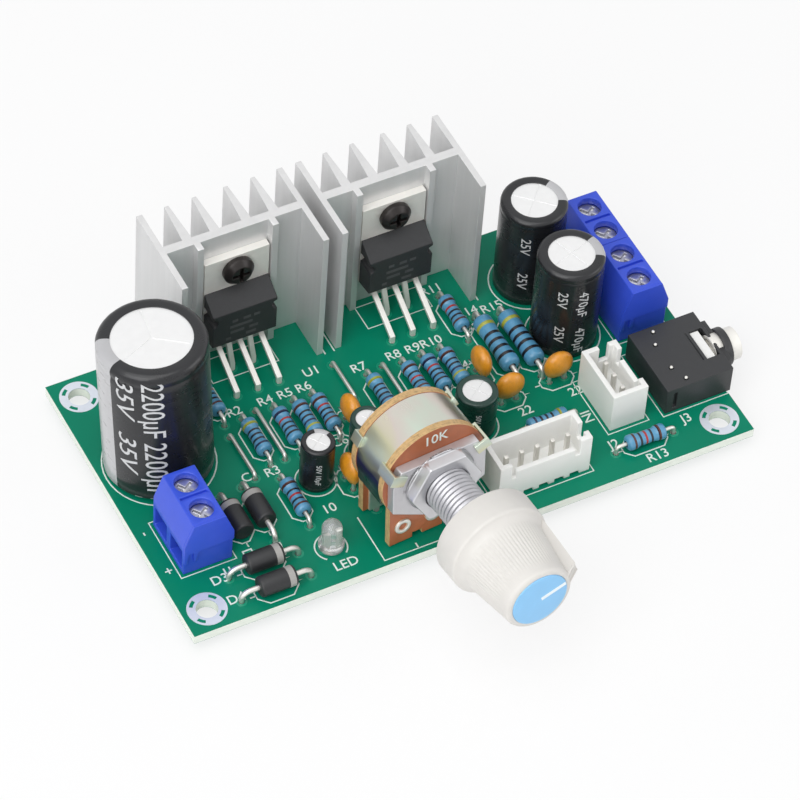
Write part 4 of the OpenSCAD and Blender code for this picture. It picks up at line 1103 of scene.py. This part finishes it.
class HeatsinksOperator(bpy.types.Operator):
    """Two finned heatsinks"""
    bl_idname = "amplifier.heatsinks"
    bl_label = "Heatsinks"

    def execute(self, context):
        for side in ("left", "right"):
            soften("heatsink_" + side, sizes().fine_edge)
        return {"FINISHED"}


class ChipsOperator(bpy.types.Operator):
    """Two power chips with their tabs, leads and screws"""
    bl_idname = "amplifier.chips"
    bl_label = "Chips"

    MARK_TOP = 5.0 * MM
    MARK_STEP = 1.15 * MM
    MARK_HEIGHT = 0.55 * MM
    MARK_DEPTH = 0.02 * MM
    ROWS = (((-1.6, 0.9), (0.3, 1.2), (1.9, 1.0)), ((-0.6, 3.6),), ((-1.2, 2.2), (1.4, 1.4)),
            ((-2.6, 0.8), (1.0, 1.6)))

    def execute(self, context):
        s = sizes()
        for side in ("left", "right"):
            soften("amplifier_case_" + side, s.soft_edge)
            soften("amplifier_frame_" + side, s.fine_edge, "tab")
            self.marks(side)
        soften("heatsink_screws", s.fine_edge)
        return {"FINISHED"}

    def marks(self, side):
        """Faint rows of plain bars where a chip is marked."""
        low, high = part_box("amplifier_case_" + side)
        bm = bmesh.new()
        for row, bars in enumerate(self.ROWS):
            for x, width in bars:
                centre = Vector(((low.x + high.x) / 2 + x * MM, low.y - self.MARK_DEPTH / 4,
                                 low.z + self.MARK_TOP - row * self.MARK_STEP))
                add_block(bm, Matrix.Translation(centre), (width * MM, self.MARK_DEPTH, self.MARK_HEIGHT))
        add_piece(f"chip_marks_{side}", mesh_from(bm, "marks"), "faint_ink", slot="chip_case")


# Electrolytic capacitors

class ElectrolyticsOperator(bpy.types.Operator):
    """Electrolytic capacitors with printed sleeves"""
    bl_idname = "amplifier.electrolytics"
    bl_label = "Electrolytics"

    FILTER_LEAN = (math.radians(-3), math.radians(-1.9))
    FILTER_HEIGHT = 26 * MM
    FILTER_LIFT = 0.6 * MM
    FILTER_MOUTH = 0.735
    FILTER_STRIPE = (155, 198)
    FILTER_MARKS = (("35V", 2.8, -146, 21.1, 1.2, 0.3), ("35V", 2.8, -146, 9.8, 1.2, 0.3),
                    ("2200µF", 3.2, -116.5, 19.4, 0.82, 0.0), ("2200µF", 3.2, -116.5, 7.1, 0.82, 0.0))
    MOUTH = 0.69
    OUTPUT_LETTER = 1.5
    SMALL_LETTER = 0.8
    WALL = 0.18 * MM
    SHOULDER = 0.14
    FOLD_BAND = 0.24
    FOLD_DEPTH = 0.007
    PRINT_RISE = 0.03
    OUTPUT_STRIPES = ((-29, 20), (-25, 33))
    OUTPUT_MARKS = (("25V", -130, 0.72), ("470µF", -94, 0.66), ("25V", -130, 0.3), ("470µF", -94, 0.22))
    SMALL_MARKS = (("50V 10µF", -112, 0.46),)
    BEAD = ((0.0, 2.6), (0.002, 2.4), (0.002, 2.25), (0.01, 2.05), (0.011, 1.7), (0.002, 1.45),
            (0.0, 1.2))

    def execute(self, context):
        for node in ("filter_capacitor_can", "output_capacitor_cans", "small_capacitor_cans",
                     "capacitor_seals", "capacitor_leads"):
            dress(node)
        self.filter()
        self.standing("output_capacitor_sleeves", ("output_sleeves", "output_print"), "sleeve_black",
                      self.OUTPUT_STRIPES, self.OUTPUT_LETTER, self.OUTPUT_MARKS)
        for node, finish, stripe in (("bypass_capacitor_sleeve", "sleeve_black", (20, 80)),
                                     ("coupling_capacitor_sleeves", "sleeve_green", (0, 0))):
            self.standing(node, (node + "_form", node + "_print"), finish, (stripe, stripe),
                          self.SMALL_LETTER, self.SMALL_MARKS)
        return {"FINISHED"}

    def filter(self):
        """Large leaning capacitor."""
        half = Vector((0, 0, (BOARD_HIGH.z - BOARD_LOW.z) / 2))
        lean = (Matrix.Translation(spot(*FILTER_SPOT) - half)
                @ Matrix.Rotation(self.FILTER_LEAN[1], 4, "Y")
                @ Matrix.Rotation(self.FILTER_LEAN[0], 4, "X")
                @ Matrix.Translation(half))
        sleeve = self.sleeve(FILTER_RADIUS, self.FILTER_LIFT, self.FILTER_HEIGHT, self.FILTER_MOUTH,
                             self.FILTER_STRIPE)
        sleeve.transform(lean)
        add_piece("filter_sleeve", sleeve, "sleeve_black", "filter_capacitor_sleeve")
        prints = [self.print_on(text, size, FILTER_RADIUS, around, up, lean, run, slant)
                  for text, size, around, up, run, slant in self.FILTER_MARKS]
        add_piece("filter_print", joined(prints, "filter_print"), "grey_ink", slot="sleeve_black")

    def standing(self, node, names, finish, stripes, size, marks):
        """Sleeves of a node's capacitors from front to back, with marks of text, angle and height."""
        sleeves = []
        prints = []
        boxes = sorted(islands(node), key=lambda b: b[0].y)
        for (low, high), stripe in zip(boxes, stripes):
            centre = (low + high) / 2
            place = Matrix.Translation((centre.x, centre.y, low.z))
            radius = (high.x - low.x) / 2
            tall = high.z - low.z
            mesh = self.sleeve(radius, 0, tall, self.MOUTH, stripe)
            mesh.transform(place)
            sleeves.append(mesh)
            prints += [self.print_on(text, size, radius, around, tall / MM * up, place)
                       for text, around, up in marks]
        add_piece(names[0], joined(sleeves, names[0]), finish, node)
        add_piece(names[1], joined(prints, names[1]), "grey_ink", slot=finish)

    def sleeve(self, radius, low, high, mouth, stripe):
        """Thin sleeve with a groove under its round shoulder and a stripe between two angles."""
        wall = self.WALL
        shoulder = self.SHOULDER * radius
        outer = [(radius - 0.25 * MM, low), (radius, low + 0.3 * MM)]
        outer += [(radius, low + (high - low - 3 * shoulder) * i / 8) for i in range(1, 9)]
        outer += [(radius * (1 - dip), high - shoulder * drop) for dip, drop in self.BEAD]
        outer += arc((radius - shoulder, high - shoulder), shoulder, 0, 90, 8)
        outer += [(radius * (mouth + 0.04), high), (radius * mouth, high - 0.06 * MM),
                  (radius * mouth, high - 0.18 * MM)]
        inner = [(radius - shoulder - wall, high - wall), (radius - wall, high - shoulder - wall),
                 (radius - wall, low)]
        bm = lathe(outer + inner, 144, closed=True)
        self.crease(bm, radius, low, high)
        mesh = smooth(mesh_from(bm, "sleeve"), FORM_ANGLE)
        layer = mesh.attributes.new("stripe", "FLOAT", "FACE")
        first, last = stripe
        for face in mesh.polygons:
            angle = math.degrees(math.atan2(face.center.y, face.center.x))
            layer.data[face.index].value = float((angle - first) % 360 < last - first)
        return mesh

    def crease(self, bm, radius, low, high):
        """Draws small folds into the shrunk shoulder and foot."""
        band = self.FOLD_BAND * radius
        for vert in bm.verts:
            reach = math.hypot(vert.co.x, vert.co.y)
            if reach < 0.8 * radius:
                continue
            near = min(high - vert.co.z, 1.4 * (vert.co.z - low))
            share = max(0.0, 1 - abs(near - 0.5 * band) / band)
            x, y, z = vert.co / radius
            folds = noise.noise(Vector((9 * x, 9 * y, 14 * z)))
            pull = 1 - self.FOLD_DEPTH * share * (0.5 + folds)
            vert.co.x *= pull
            vert.co.y *= pull

    def print_on(self, text, size, radius, around, up, place, run=1.0, slant=0.0):
        """Text down a sleeve: its size and height in millimetres, its angle in degrees."""
        mesh = letters(text, size)
        bm = bmesh.new()
        bm.from_mesh(mesh)
        bpy.data.meshes.remove(mesh)
        bmesh.ops.triangulate(bm, faces=bm.faces)
        wide = radius / MM
        step = wide * math.radians(3)
        count = int(size / step) + 1
        for i in range(-count, count + 1):
            bmesh.ops.bisect_plane(bm, geom=bm.verts[:] + bm.edges[:] + bm.faces[:], dist=1e-4,
                                   plane_co=(0, i * step, 0), plane_no=(0, 1, 0))
        bmesh.ops.triangulate(bm, faces=bm.faces)
        raise_faces(bm, self.PRINT_RISE)
        for vert in bm.verts:
            along = vert.co.x * run + vert.co.y * slant
            angle = math.radians(around) + vert.co.y / wide
            reach = wide + 0.01 + vert.co.z
            vert.co = (reach * math.cos(angle), reach * math.sin(angle), up - along)
        bmesh.ops.recalc_face_normals(bm, faces=bm.faces)
        bm.transform(place @ Matrix.Scale(MM, 4))
        return mesh_from(bm, "print")


# Small parts with leads

BANDS = {
    "black": srgb(26, 26, 34), "brown": srgb(84, 44, 34), "red": srgb(176, 46, 44),
    "gold": srgb(176, 178, 66), "navy": srgb(32, 38, 74), "grey": srgb(176, 174, 170),
}
BAND_CODES = (("brown", "black", "black", "red", "brown"), ("navy", "black", "black", "black", "gold"),
              ("brown", "black", "red", "black", "brown"), ("black", "black", "black", "red", "navy"),
              ("gold", "navy", "black", "black", "brown"))
BAND_PLACES = (-0.66, -0.34, -0.06, 0.22, 0.62)
BAND_HALF = 0.055
DIODE_BAND = (0.52, 0.86)


def lead_paths(body_node, lead_node, bend):
    """Paths of the leads of lying bodies, from the body's end down through the board."""
    bodies = islands(body_node)
    paths = []
    for low, high in islands(lead_node):
        middle = (low + high) / 2
        box = min(bodies, key=lambda b: ((b[0] + b[1]) / 2 - middle).length)
        centre = (box[0] + box[1]) / 2
        along = long_axis(box)
        radius = (high[1 - along] - low[1 - along]) / 2
        side = 1 if middle[along] > centre[along] else -1
        start = centre.copy()
        start[along] = centre[along] + side * ((box[1][along] - box[0][along]) / 2 - 0.3 * MM)
        corner = centre.copy()
        corner[along] = high[along] - radius if side > 0 else low[along] + radius
        end = corner.copy()
        end.z = low.z
        paths.append(bent(start, corner, end, bend))
    return paths


class LyingPartsOperator(bpy.types.Operator):
    """Banded resistors, rectifier diodes and their bent leads"""
    bl_idname = "amplifier.lying_parts"
    bl_label = "Resistors and diodes"

    LEADS = (("resistors", "resistor_leads", 0.3, 0.6),
             ("power_resistors", "power_resistor_leads", 0.4, 0.8),
             ("rectifier_diodes", "diode_leads", 0.4, 1.3))
    POWER_CODE = ("black", "black", "black", "black", "gold")
    DIODE_EDGE = 0.35 * MM
    JUMPER_RADIUS = 0.3 * MM
    JUMPER_BEND = 0.5 * MM

    def execute(self, context):
        self.bodies("resistors", 0.84, BAND_CODES)
        self.bodies("power_resistors", 0.93, (self.POWER_CODE,))
        self.diodes()
        for bodies, leads, radius, bend in self.LEADS:
            mesh = wires(lead_paths(bodies, leads, bend * MM), radius * MM, "tinned")
            add_piece(leads + "_form", mesh, "tinned", leads)
        self.jumpers()
        return {"FINISHED"}

    def bone(self, half, radius, waist, codes):
        """Body with swollen ends and bands, lying along X."""
        ends = [(0.0, -1.0), (0.4, -1.0), (0.72, -0.985), (0.92, -0.94), (1.0, -0.86), (1.0, -0.6),
                (0.97, -0.53), (waist + 0.03, -0.46), (waist, -0.4)]
        profile = {side * z: r for r, z in ends for side in (1, -1)}
        for mark in (place + side * BAND_HALF for place in BAND_PLACES for side in (-1, 1)):
            profile[mark] = 1.0 if abs(mark) > 0.58 else waist
        rings = [(profile[z] * radius, z * half) for z in sorted(profile)]
        mesh = smooth(mesh_from(lathe(rings, 28), "bone"), ROUND_ANGLE)
        base = colours().resistor

        def tint(point):
            share = point.z / half
            for place, name in zip(BAND_PLACES, codes):
                if abs(share - place) < BAND_HALF:
                    return BANDS[name]
            return base
        paint_faces(mesh, tint)
        mesh.transform(Matrix.Rotation(RIGHT_ANGLE, 4, "Y"))
        return mesh

    def bodies(self, node, waist, codes):
        boxes = islands(node)
        meshes = []
        for kind, code in enumerate(codes):
            chosen = boxes[kind::len(codes)]
            low, high = chosen[0]
            half = max(high.x - low.x, high.y - low.y) / 2
            radius = (high.z - low.z) / 2
            bone = self.bone(half, radius, waist, code)
            meshes.append(copies(bone, lying_places(chosen), "resistor"))
        add_piece(node + "_form", joined(meshes, node), "resistor", node)

    def diodes(self):
        boxes = islands("rectifier_diodes")
        low, high = boxes[0]
        half = max(high.x - low.x, high.y - low.y) / 2
        radius = (high.z - low.z) / 2
        edge = self.DIODE_EDGE
        profile = [(0.0, -half), (radius - edge, -half)]
        profile += arc((radius - edge, edge - half), edge, -90, 0, 4)[1:]
        first, last = (half * share for share in DIODE_BAND)
        profile += [(radius, first), (radius, last)]
        profile += arc((radius - edge, half - edge), edge, 0, 90, 4)
        profile += [(0.0, half)]
        mesh = smooth(mesh_from(lathe(profile, 36), "diode"), TURNED_ANGLE)
        moulding = colours().moulding
        paint_faces(mesh, lambda p: BANDS["grey"] if first < p.z < last else moulding)
        mesh.transform(Matrix.Rotation(RIGHT_ANGLE, 4, "Y"))
        add_piece("diode_bodies", copies(mesh, lying_places(boxes), "diode"), "diode", "rectifier_diodes")

    def jumpers(self):
        """Bridges of bare wire with small bends."""
        radius = self.JUMPER_RADIUS
        paths = []
        for low, high in islands("jumper_wires"):
            x = (low.x + high.x) / 2
            top = high.z - radius
            front = Vector((x, low.y + radius, top))
            back = Vector((x, high.y - radius, top))
            middle = (front + back) / 2
            first = bent(Vector((x, front.y, low.z)), front, middle, self.JUMPER_BEND)
            second = bent(middle, back, Vector((x, back.y, low.z)), self.JUMPER_BEND)
            paths.append(first[:-1] + second)
        add_piece("jumper_forms", wires(paths, radius, "tinned"), "tinned", "jumper_wires")


class CeramicsOperator(bpy.types.Operator):
    """Dipped ceramic capacitors"""
    bl_idname = "amplifier.ceramics"
    bl_label = "Ceramic capacitors"

    def execute(self, context):
        dress("ceramic_leads")
        boxes = islands("ceramic_capacitors")
        low, high = boxes[0]
        radius = (high.z - low.z) / 2
        thick = min(high.x - low.x, high.y - low.y) / 2
        mesh = copies(self.drop(radius, thick), lying_places(boxes), "ceramic")
        add_piece("ceramic_drops", mesh, "ceramic", "ceramic_capacitors")
        return {"FINISHED"}

    def drop(self, radius, thick):
        """Flat drop that runs down into a skirt round its two legs."""
        bm = bmesh.new()
        bmesh.ops.create_uvsphere(bm, u_segments=36, v_segments=24, radius=1)
        for vert in bm.verts:
            x, y, z = vert.co
            low = max(0.0, -z)
            skirt = low ** 2.2
            vert.co = (radius * x * (1 + 0.25 * skirt), thick * y * (1 - 0.35 * skirt),
                       radius * (z - 0.22 * low ** 3))
        return smooth(mesh_from(bm, "drop"), FORM_ANGLE)


class LampOperator(bpy.types.Operator):
    """Clear indicator lamp with its posts inside"""
    bl_idname = "amplifier.lamp"
    bl_label = "Lamp"

    DOME_INSET = 0.4 * MM
    FLANGE_HEIGHT = 1.0 * MM
    FLANGE_BEVEL = 0.1 * MM
    POSTS = ((-1, 0.95, 3.1), (1, 0.55, 3.3))
    POST_SPREAD = 0.62 * MM
    POST_DEPTH = 0.4 * MM
    POST_LIFT = 0.2 * MM

    def execute(self, context):
        dress("led_leads")
        low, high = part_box("led_lens")
        centre = (low + high) / 2
        flange = (high.x - low.x) / 2
        dome = flange - self.DOME_INSET
        bevel = self.FLANGE_BEVEL
        tall = high.z - low.z
        profile = [(0.0, 0.0), (flange - bevel, 0.0), (flange, bevel), (flange, self.FLANGE_HEIGHT - bevel),
                   (flange - bevel, self.FLANGE_HEIGHT), (dome, self.FLANGE_HEIGHT + bevel / 2)]
        profile += arc((0, tall - dome), dome, 0, 90, 10)
        profile[-1] = (0.0, tall)
        mesh = smooth(mesh_from(lathe(profile, 40), "lens"), ROUND_ANGLE)
        mesh.transform(Matrix.Translation((centre.x, centre.y, low.z)))
        add_piece("lamp_lens", mesh, "lens", "led_lens")
        bm = bmesh.new()
        for side, wide, top in self.POSTS:
            at = Vector((centre.x + side * self.POST_SPREAD, centre.y,
                         low.z + top / 2 * MM + self.POST_LIFT))
            add_block(bm, Matrix.Translation(at), (wide * MM, self.POST_DEPTH, top * MM))
        posts = rounded(bm, "lamp_posts", 0.08 * MM)
        add_piece("lamp_posts", posts, "tinned", slot="tinned")
        return {"FINISHED"}


class ConnectorsOperator(bpy.types.Operator):
    """Screw terminals, pin headers and the jack socket"""
    bl_idname = "amplifier.connectors"
    bl_label = "Connectors"

    PANEL_FLOOR = 4.6 * MM
    PANEL_RISE = 0.35 * MM
    PANEL_SINK = 0.02 * MM
    RIB_HEIGHT = 2 * MM
    RIB_EDGES = (0.55 * MM, 1.5 * MM, 2.05 * MM)
    TIP_PROFILE = ((0, 0), (0.24, 0), (0.24, 0.1), (0.17, 0.2), (0, 0.26))
    TIP_DEPTH = 0.45 * MM
    SHOULDER = 6.4 * MM
    CROWN = 2.45 * MM
    JACK_HOLES = ((83.1, 18.8), (82.2, 16.5), (82.2, 11.7), (83.2, 9.1))

    def execute(self, context):
        s = sizes()
        for i in range(1, 4):
            soften(f"terminal_housing_{i}", s.soft_edge)
        for i in range(1, 7):
            soften(f"terminal_screw_{i}", s.fine_edge)
            soften(f"wire_clamp_{i}", s.fine_edge)
        for node in ("terminal_contacts", "jack_contacts"):
            dress(node)
        for node in ("input_header", "volume_header", "jack_insert"):
            soften(node, s.soft_edge * 0.8)
        soften("header_pins", s.fine_edge)
        soften("jack_housing", s.soft_edge * 0.7)
        soften("jack_ring", s.fine_edge * 2, "tab")
        for node in ("terminal_housing_1", "terminal_housing_2"):
            self.end_panel(node)
        self.jack_tips()
        return {"FINISHED"}

    def end_panel(self, node):
        """Raised panel with two short ribs on the front end of a housing."""
        low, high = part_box(node)
        half = (high.x - low.x) / 2
        floor = low.z + self.PANEL_FLOOR
        shoulder = low.z + self.SHOULDER
        foot = floor - self.RIB_HEIGHT
        rib_in, gap_in, rib_out = (edge - half for edge in self.RIB_EDGES)
        outline = ((-half, foot), (rib_in, foot), (rib_in, floor), (gap_in, floor), (gap_in, foot),
                   (rib_out, foot), (rib_out, floor), (half, floor), (half, shoulder),
                   (self.CROWN, high.z), (-self.CROWN, high.z), (-half, shoulder))
        bm = plate_of(outline, self.PANEL_RISE)
        bm.transform(Matrix.Translation(((low.x + high.x) / 2, low.y + self.PANEL_SINK, 0))
                     @ Matrix.Rotation(RIGHT_ANGLE, 4, "X"))
        mesh = rounded(bm, node + "_panel", sizes().fine_edge)
        add_piece(node + "_panel", mesh, "terminal", slot="terminal")

    def jack_tips(self):
        """Bright contact tips in the small holes of the jack's top."""
        profile = [(r * MM, z * MM) for r, z in self.TIP_PROFILE]
        template = smooth(mesh_from(lathe(profile, 16), "tip"))
        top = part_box("jack_housing")[1].z
        places = [((*spot(x, y).xy, top - self.TIP_DEPTH), 0.0) for x, y in self.JACK_HOLES]
        add_piece("jack_tips", copies(template, places, "tab"), "tab", slot="tinned")


class VolumeControlOperator(bpy.types.Operator):
    """Volume control: plate, threaded bushing, nut, cover, wafers and shaft"""
    bl_idname = "amplifier.volume_control"
    bl_label = "Volume control"

    BUSHING_RADIUS = 3.5 * MM
    BORE_RADIUS = 3.05 * MM
    NUT_EDGE = 0.25 * MM
    WAFER = 1.2 * MM
    WAFER_MARGIN = 0.07 * MM
    VALUE_SHIFT = 0.2 * MM
    VALUE_SINK = 0.012 * MM
    VALUE_HEIGHT = 1.7 * MM
    VALUE_RISE = 6.5 * MM

    def execute(self, context):
        s = sizes()
        self.plate()
        self.bushing()
        soften("pot_nut", self.NUT_EDGE)
        soften("pot_cover", s.fine_edge)
        soften("pot_shaft", s.fine_edge * 2)
        self.wafers()
        self.value_print()
        return {"FINISHED"}

    def plate(self):
        """Front plate without its bushing, closed where the bushing joins it."""
        home = shaft_frame()
        front = home.translation - home.col[1].xyz * 0.002 * MM
        bm = merged("pot_front_plate")
        cut = bmesh.ops.bisect_plane(bm, geom=bm.verts[:] + bm.edges[:] + bm.faces[:], dist=WELD,
                                     plane_co=front, plane_no=-home.col[1].xyz, clear_outer=True)
        rim = [e for e in cut["geom_cut"] if isinstance(e, bmesh.types.BMEdge)]
        bmesh.ops.bridge_loops(bm, edges=rim)
        bmesh.ops.recalc_face_normals(bm, faces=bm.faces)
        mesh = rounded(bm, "pot_plate", sizes().soft_edge)
        add_piece("pot_plate", mesh, "zinc", "pot_front_plate")

    def bushing(self):
        """Bushing with a fine thread cut round it."""
        s = sizes()
        reach = -min(p.y for p in in_shaft_frame("pot_front_plate"))
        steps = int(reach / s.thread_pitch * 12)
        around = 64
        bm = bmesh.new()
        rings = []
        for k in range(steps + 1):
            along = reach * k / steps
            fade = min(1.0, (reach - along) / (0.5 * s.thread_pitch))

            def radius_at(angle):
                phase = (along / s.thread_pitch - angle / FULL_TURN) % 1
                groove = 1 - abs(2 * phase - 1)
                return self.BUSHING_RADIUS - s.thread_depth * (1 - groove * fade)
            rings.append(add_ring(bm, around, along, radius_at))
        rings += [add_ring(bm, around, along, lambda _: self.BORE_RADIUS) for along in (reach, 0)]
        skin(bm, rings, closed=True)
        bm.transform(lathe_to_shaft())
        mesh = smooth(mesh_from(bm, "bushing"), THREAD_ANGLE)
        add_piece("pot_bushing", mesh, "thread", slot="zinc")

    def wafers(self):
        """Brown wafers, with their terminals and rivets left as metal."""
        home = shaft_frame().inverted()
        mesh = rounded(merged("pot_wafers"), "pot_wafers_form", sizes().fine_edge)
        add_piece("pot_wafers_form", mesh, "phenolic", "pot_wafers")
        mesh.materials.append(finish_of("tinned").material)
        plate_back = max(p.y for p in in_shaft_frame("pot_front_plate"))
        margin = self.WAFER_MARGIN
        rear = max(p.y for p in in_shaft_frame("pot_shaft")) - self.WAFER
        spans = [(start - margin, start + self.WAFER + margin) for start in (plate_back, rear)]
        for face in mesh.polygons:
            depth = (home @ face.center).y
            if not any(low < depth < high for low, high in spans):
                face.material_index = 1

    def value_print(self):
        """Plain resistance value on the front wafer, above the plate."""
        mesh = letters("10K", self.VALUE_HEIGHT, 0.03 * MM, 0.01)
        plate_back = max(p.y for p in in_shaft_frame("pot_front_plate"))
        place = Matrix.Translation((self.VALUE_SHIFT, plate_back - self.VALUE_SINK, self.VALUE_RISE))
        mesh.transform(shaft_frame() @ place @ Matrix.Rotation(RIGHT_ANGLE, 4, "X"))
        add_piece("pot_value", mesh, "ink", slot="phenolic")


class KnobOperator(bpy.types.Operator):
    """Skirted knob with fine ribs, a pointer ridge, a blue cap and a white pointer"""
    bl_idname = "amplifier.knob"
    bl_label = "Knob"

    SKIRT_LENGTH = 4.6 * MM
    SKIRT_FALL = 1.3 * MM
    RIM = 0.95 * MM
    WALL = 1.3 * MM
    FACE = 3.2 * MM
    POINTER_ANGLE = math.radians(74)
    RIDGE_WIDTH = 1.6 * MM
    RIDGE_BACK = 7.2 * MM
    RIDGE_FRONT = 6.7 * MM
    RIDGE_BEVEL = 1.3 * MM
    RIDGE_ROOT = 0.7 * MM
    BORE = 3.02 * MM
    HUB = 4.4 * MM
    END_EDGE = 0.7 * MM
    END_LENGTH = 1.6 * MM
    CAP_DEPTH = 0.9 * MM
    CAP_EDGE = 0.12 * MM
    POINTER = (0.62 * MM, 0.06 * MM)

    def execute(self, context):
        s = sizes()
        points = in_shaft_frame("knob_body")
        back = -max(p.y for p in points)
        front = -min(p.y for p in points)
        skirt = max(math.hypot(p.x, p.z) for p in points)
        cap = in_shaft_frame("knob_cap")
        cap_radius = max(math.hypot(p.x, p.z) for p in cap)
        cap_front = -min(p.y for p in cap)
        end = cap_radius + self.RIM
        self.body(s, back, front, skirt, end, cap_radius)
        self.ridge(back, front, end)
        self.cap(front, cap_radius, cap_front)
        return {"FINISHED"}

    def ridge(self, back, front, end):
        """Ridge along the grip at the pointer, from the skirt to the rim."""
        tip = front - self.RIDGE_BEVEL
        start = back + self.SKIRT_LENGTH - self.RIDGE_ROOT
        outline = ((end, start), (self.RIDGE_BACK, start), (self.RIDGE_FRONT, tip),
                   (end - 0.3 * MM, front - 0.3 * MM), (end - self.RIDGE_ROOT, tip))
        bm = plate_of(outline, self.RIDGE_WIDTH, -self.RIDGE_WIDTH / 2)
        turn = Matrix(((0, 0, 1, 0), (0, -1, 0, 0), (1, 0, 0, 0), (0, 0, 0, 1)))
        bm.transform(shaft_frame() @ Matrix.Rotation(self.POINTER_ANGLE, 4, "Y") @ turn)
        add_piece("knob_ridge", rounded(bm, "knob_ridge", 0.2 * MM, 3), "knob", body="knob", slot="knob")

    def body(self, s, back, front, skirt, end, cap_radius):
        """Outside with ribs from skirt to rim, and the hollow inside with its hub."""
        grip = skirt - self.SKIRT_FALL
        shoulder = back + self.SKIRT_LENGTH
        top = shoulder + self.SKIRT_FALL
        edge = self.END_EDGE
        inner_end = front - self.FACE
        outside = [(skirt - 0.3 * MM, back), (skirt - 0.08 * MM, back + 0.08 * MM),
                   (skirt, back + 0.3 * MM), (skirt - 0.06 * MM, shoulder - 0.6 * MM)]
        outside += arc((skirt - 0.66 * MM, shoulder - 0.5 * MM), 0.6 * MM, 10, 80, 5)
        outside += [(grip + 0.12 * MM, top - 0.25 * MM), (grip, top)]
        rim = front - self.END_LENGTH
        for i in range(1, 8):
            share = i / 8
            fade = min(1.0, 6 * share, 6 * (1 - share))
            outside.append((grip + (end - grip) * share * 0.93, top + (rim - top) * share,
                            s.rib_depth * fade))
        outside.append((end + 0.1 * MM, rim))
        outside += arc((end - edge, front - edge), edge, 5, 90, 6)
        cap_floor = front - self.CAP_DEPTH
        inside = [(cap_radius + 0.06 * MM, front), (cap_radius + 0.02 * MM, front - 0.06 * MM),
                  (cap_radius + 0.02 * MM, cap_floor), (0.0, cap_floor), (0.0, inner_end),
                  (self.BORE, inner_end), (self.BORE, back + self.WALL), (self.HUB, back + self.WALL),
                  (self.HUB, inner_end - self.WALL), (grip - self.WALL, shoulder),
                  (skirt - self.WALL, back)]
        bm = lathe(outside + inside, s.rib_count * 6, ribs=s.rib_count, closed=True)
        bm.transform(lathe_to_shaft())
        mesh = smooth(mesh_from(bm, "knob"), TURNED_ANGLE)
        add_piece("knob_form", mesh, "knob", "knob_body")

    def cap(self, front, radius, reach):
        """Slightly crowned cap with a pointer set in it."""
        edge = self.CAP_EDGE
        floor = front - self.CAP_DEPTH
        profile = [(0.0, floor), (radius, floor), (radius, reach - edge)]
        profile += arc((radius - edge, reach - edge), edge, 0, 90, 4)[1:]
        profile += [(0.0, reach)]
        bm = lathe(profile, 72)
        bm.transform(lathe_to_shaft())
        add_piece("knob_cap_form", smooth(mesh_from(bm, "cap"), TURNED_ANGLE), "knob_cap", "knob_cap")
        bm = bmesh.new()
        start, stop = 0.2 * MM, radius - 0.1 * MM
        place = (shaft_frame() @ Matrix.Rotation(self.POINTER_ANGLE, 4, "Y")
                 @ Matrix.Translation((0, -reach + 0.01 * MM, (start + stop) / 2)))
        add_block(bm, place, (*self.POINTER, stop - start))
        pointer = rounded(bm, "knob_pointer", 0.02 * MM)
        add_piece("knob_pointer", pointer, "pointer", body="knob", slot="knob_cap")


class AmplifierPanel(bpy.types.Panel):
    """Lists the steps that build the board"""
    bl_idname = "VIEW3D_PT_amplifier_board"
    bl_label = "Amplifier board"
    bl_space_type = "VIEW_3D"
    bl_region_type = "UI"
    bl_category = "Amplifier"

    def draw(self, context):
        for step in STEPS:
            self.layout.operator(step.bl_idname)


STEPS = (StageOperator, BoardOperator, HeatsinksOperator, ChipsOperator, ElectrolyticsOperator,
         LyingPartsOperator, CeramicsOperator, LampOperator, ConnectorsOperator, VolumeControlOperator,
         KnobOperator)
CLASSES = (BoardColours, BoardSizes, *STEPS, AmplifierPanel)


def register():
    for cls in CLASSES:
        bpy.utils.register_class(cls)
    bpy.types.Scene.board_colours = PointerProperty(type=BoardColours)
    bpy.types.Scene.board_sizes = PointerProperty(type=BoardSizes)


def unregister():
    del bpy.types.Scene.board_sizes
    del bpy.types.Scene.board_colours
    for cls in reversed(CLASSES):
        bpy.utils.unregister_class(cls)


def main():
    register()
    for step in STEPS:
        group, name = step.bl_idname.split(".")
        getattr(getattr(bpy.ops, group), name)()


if __name__ == "__main__":
    main()
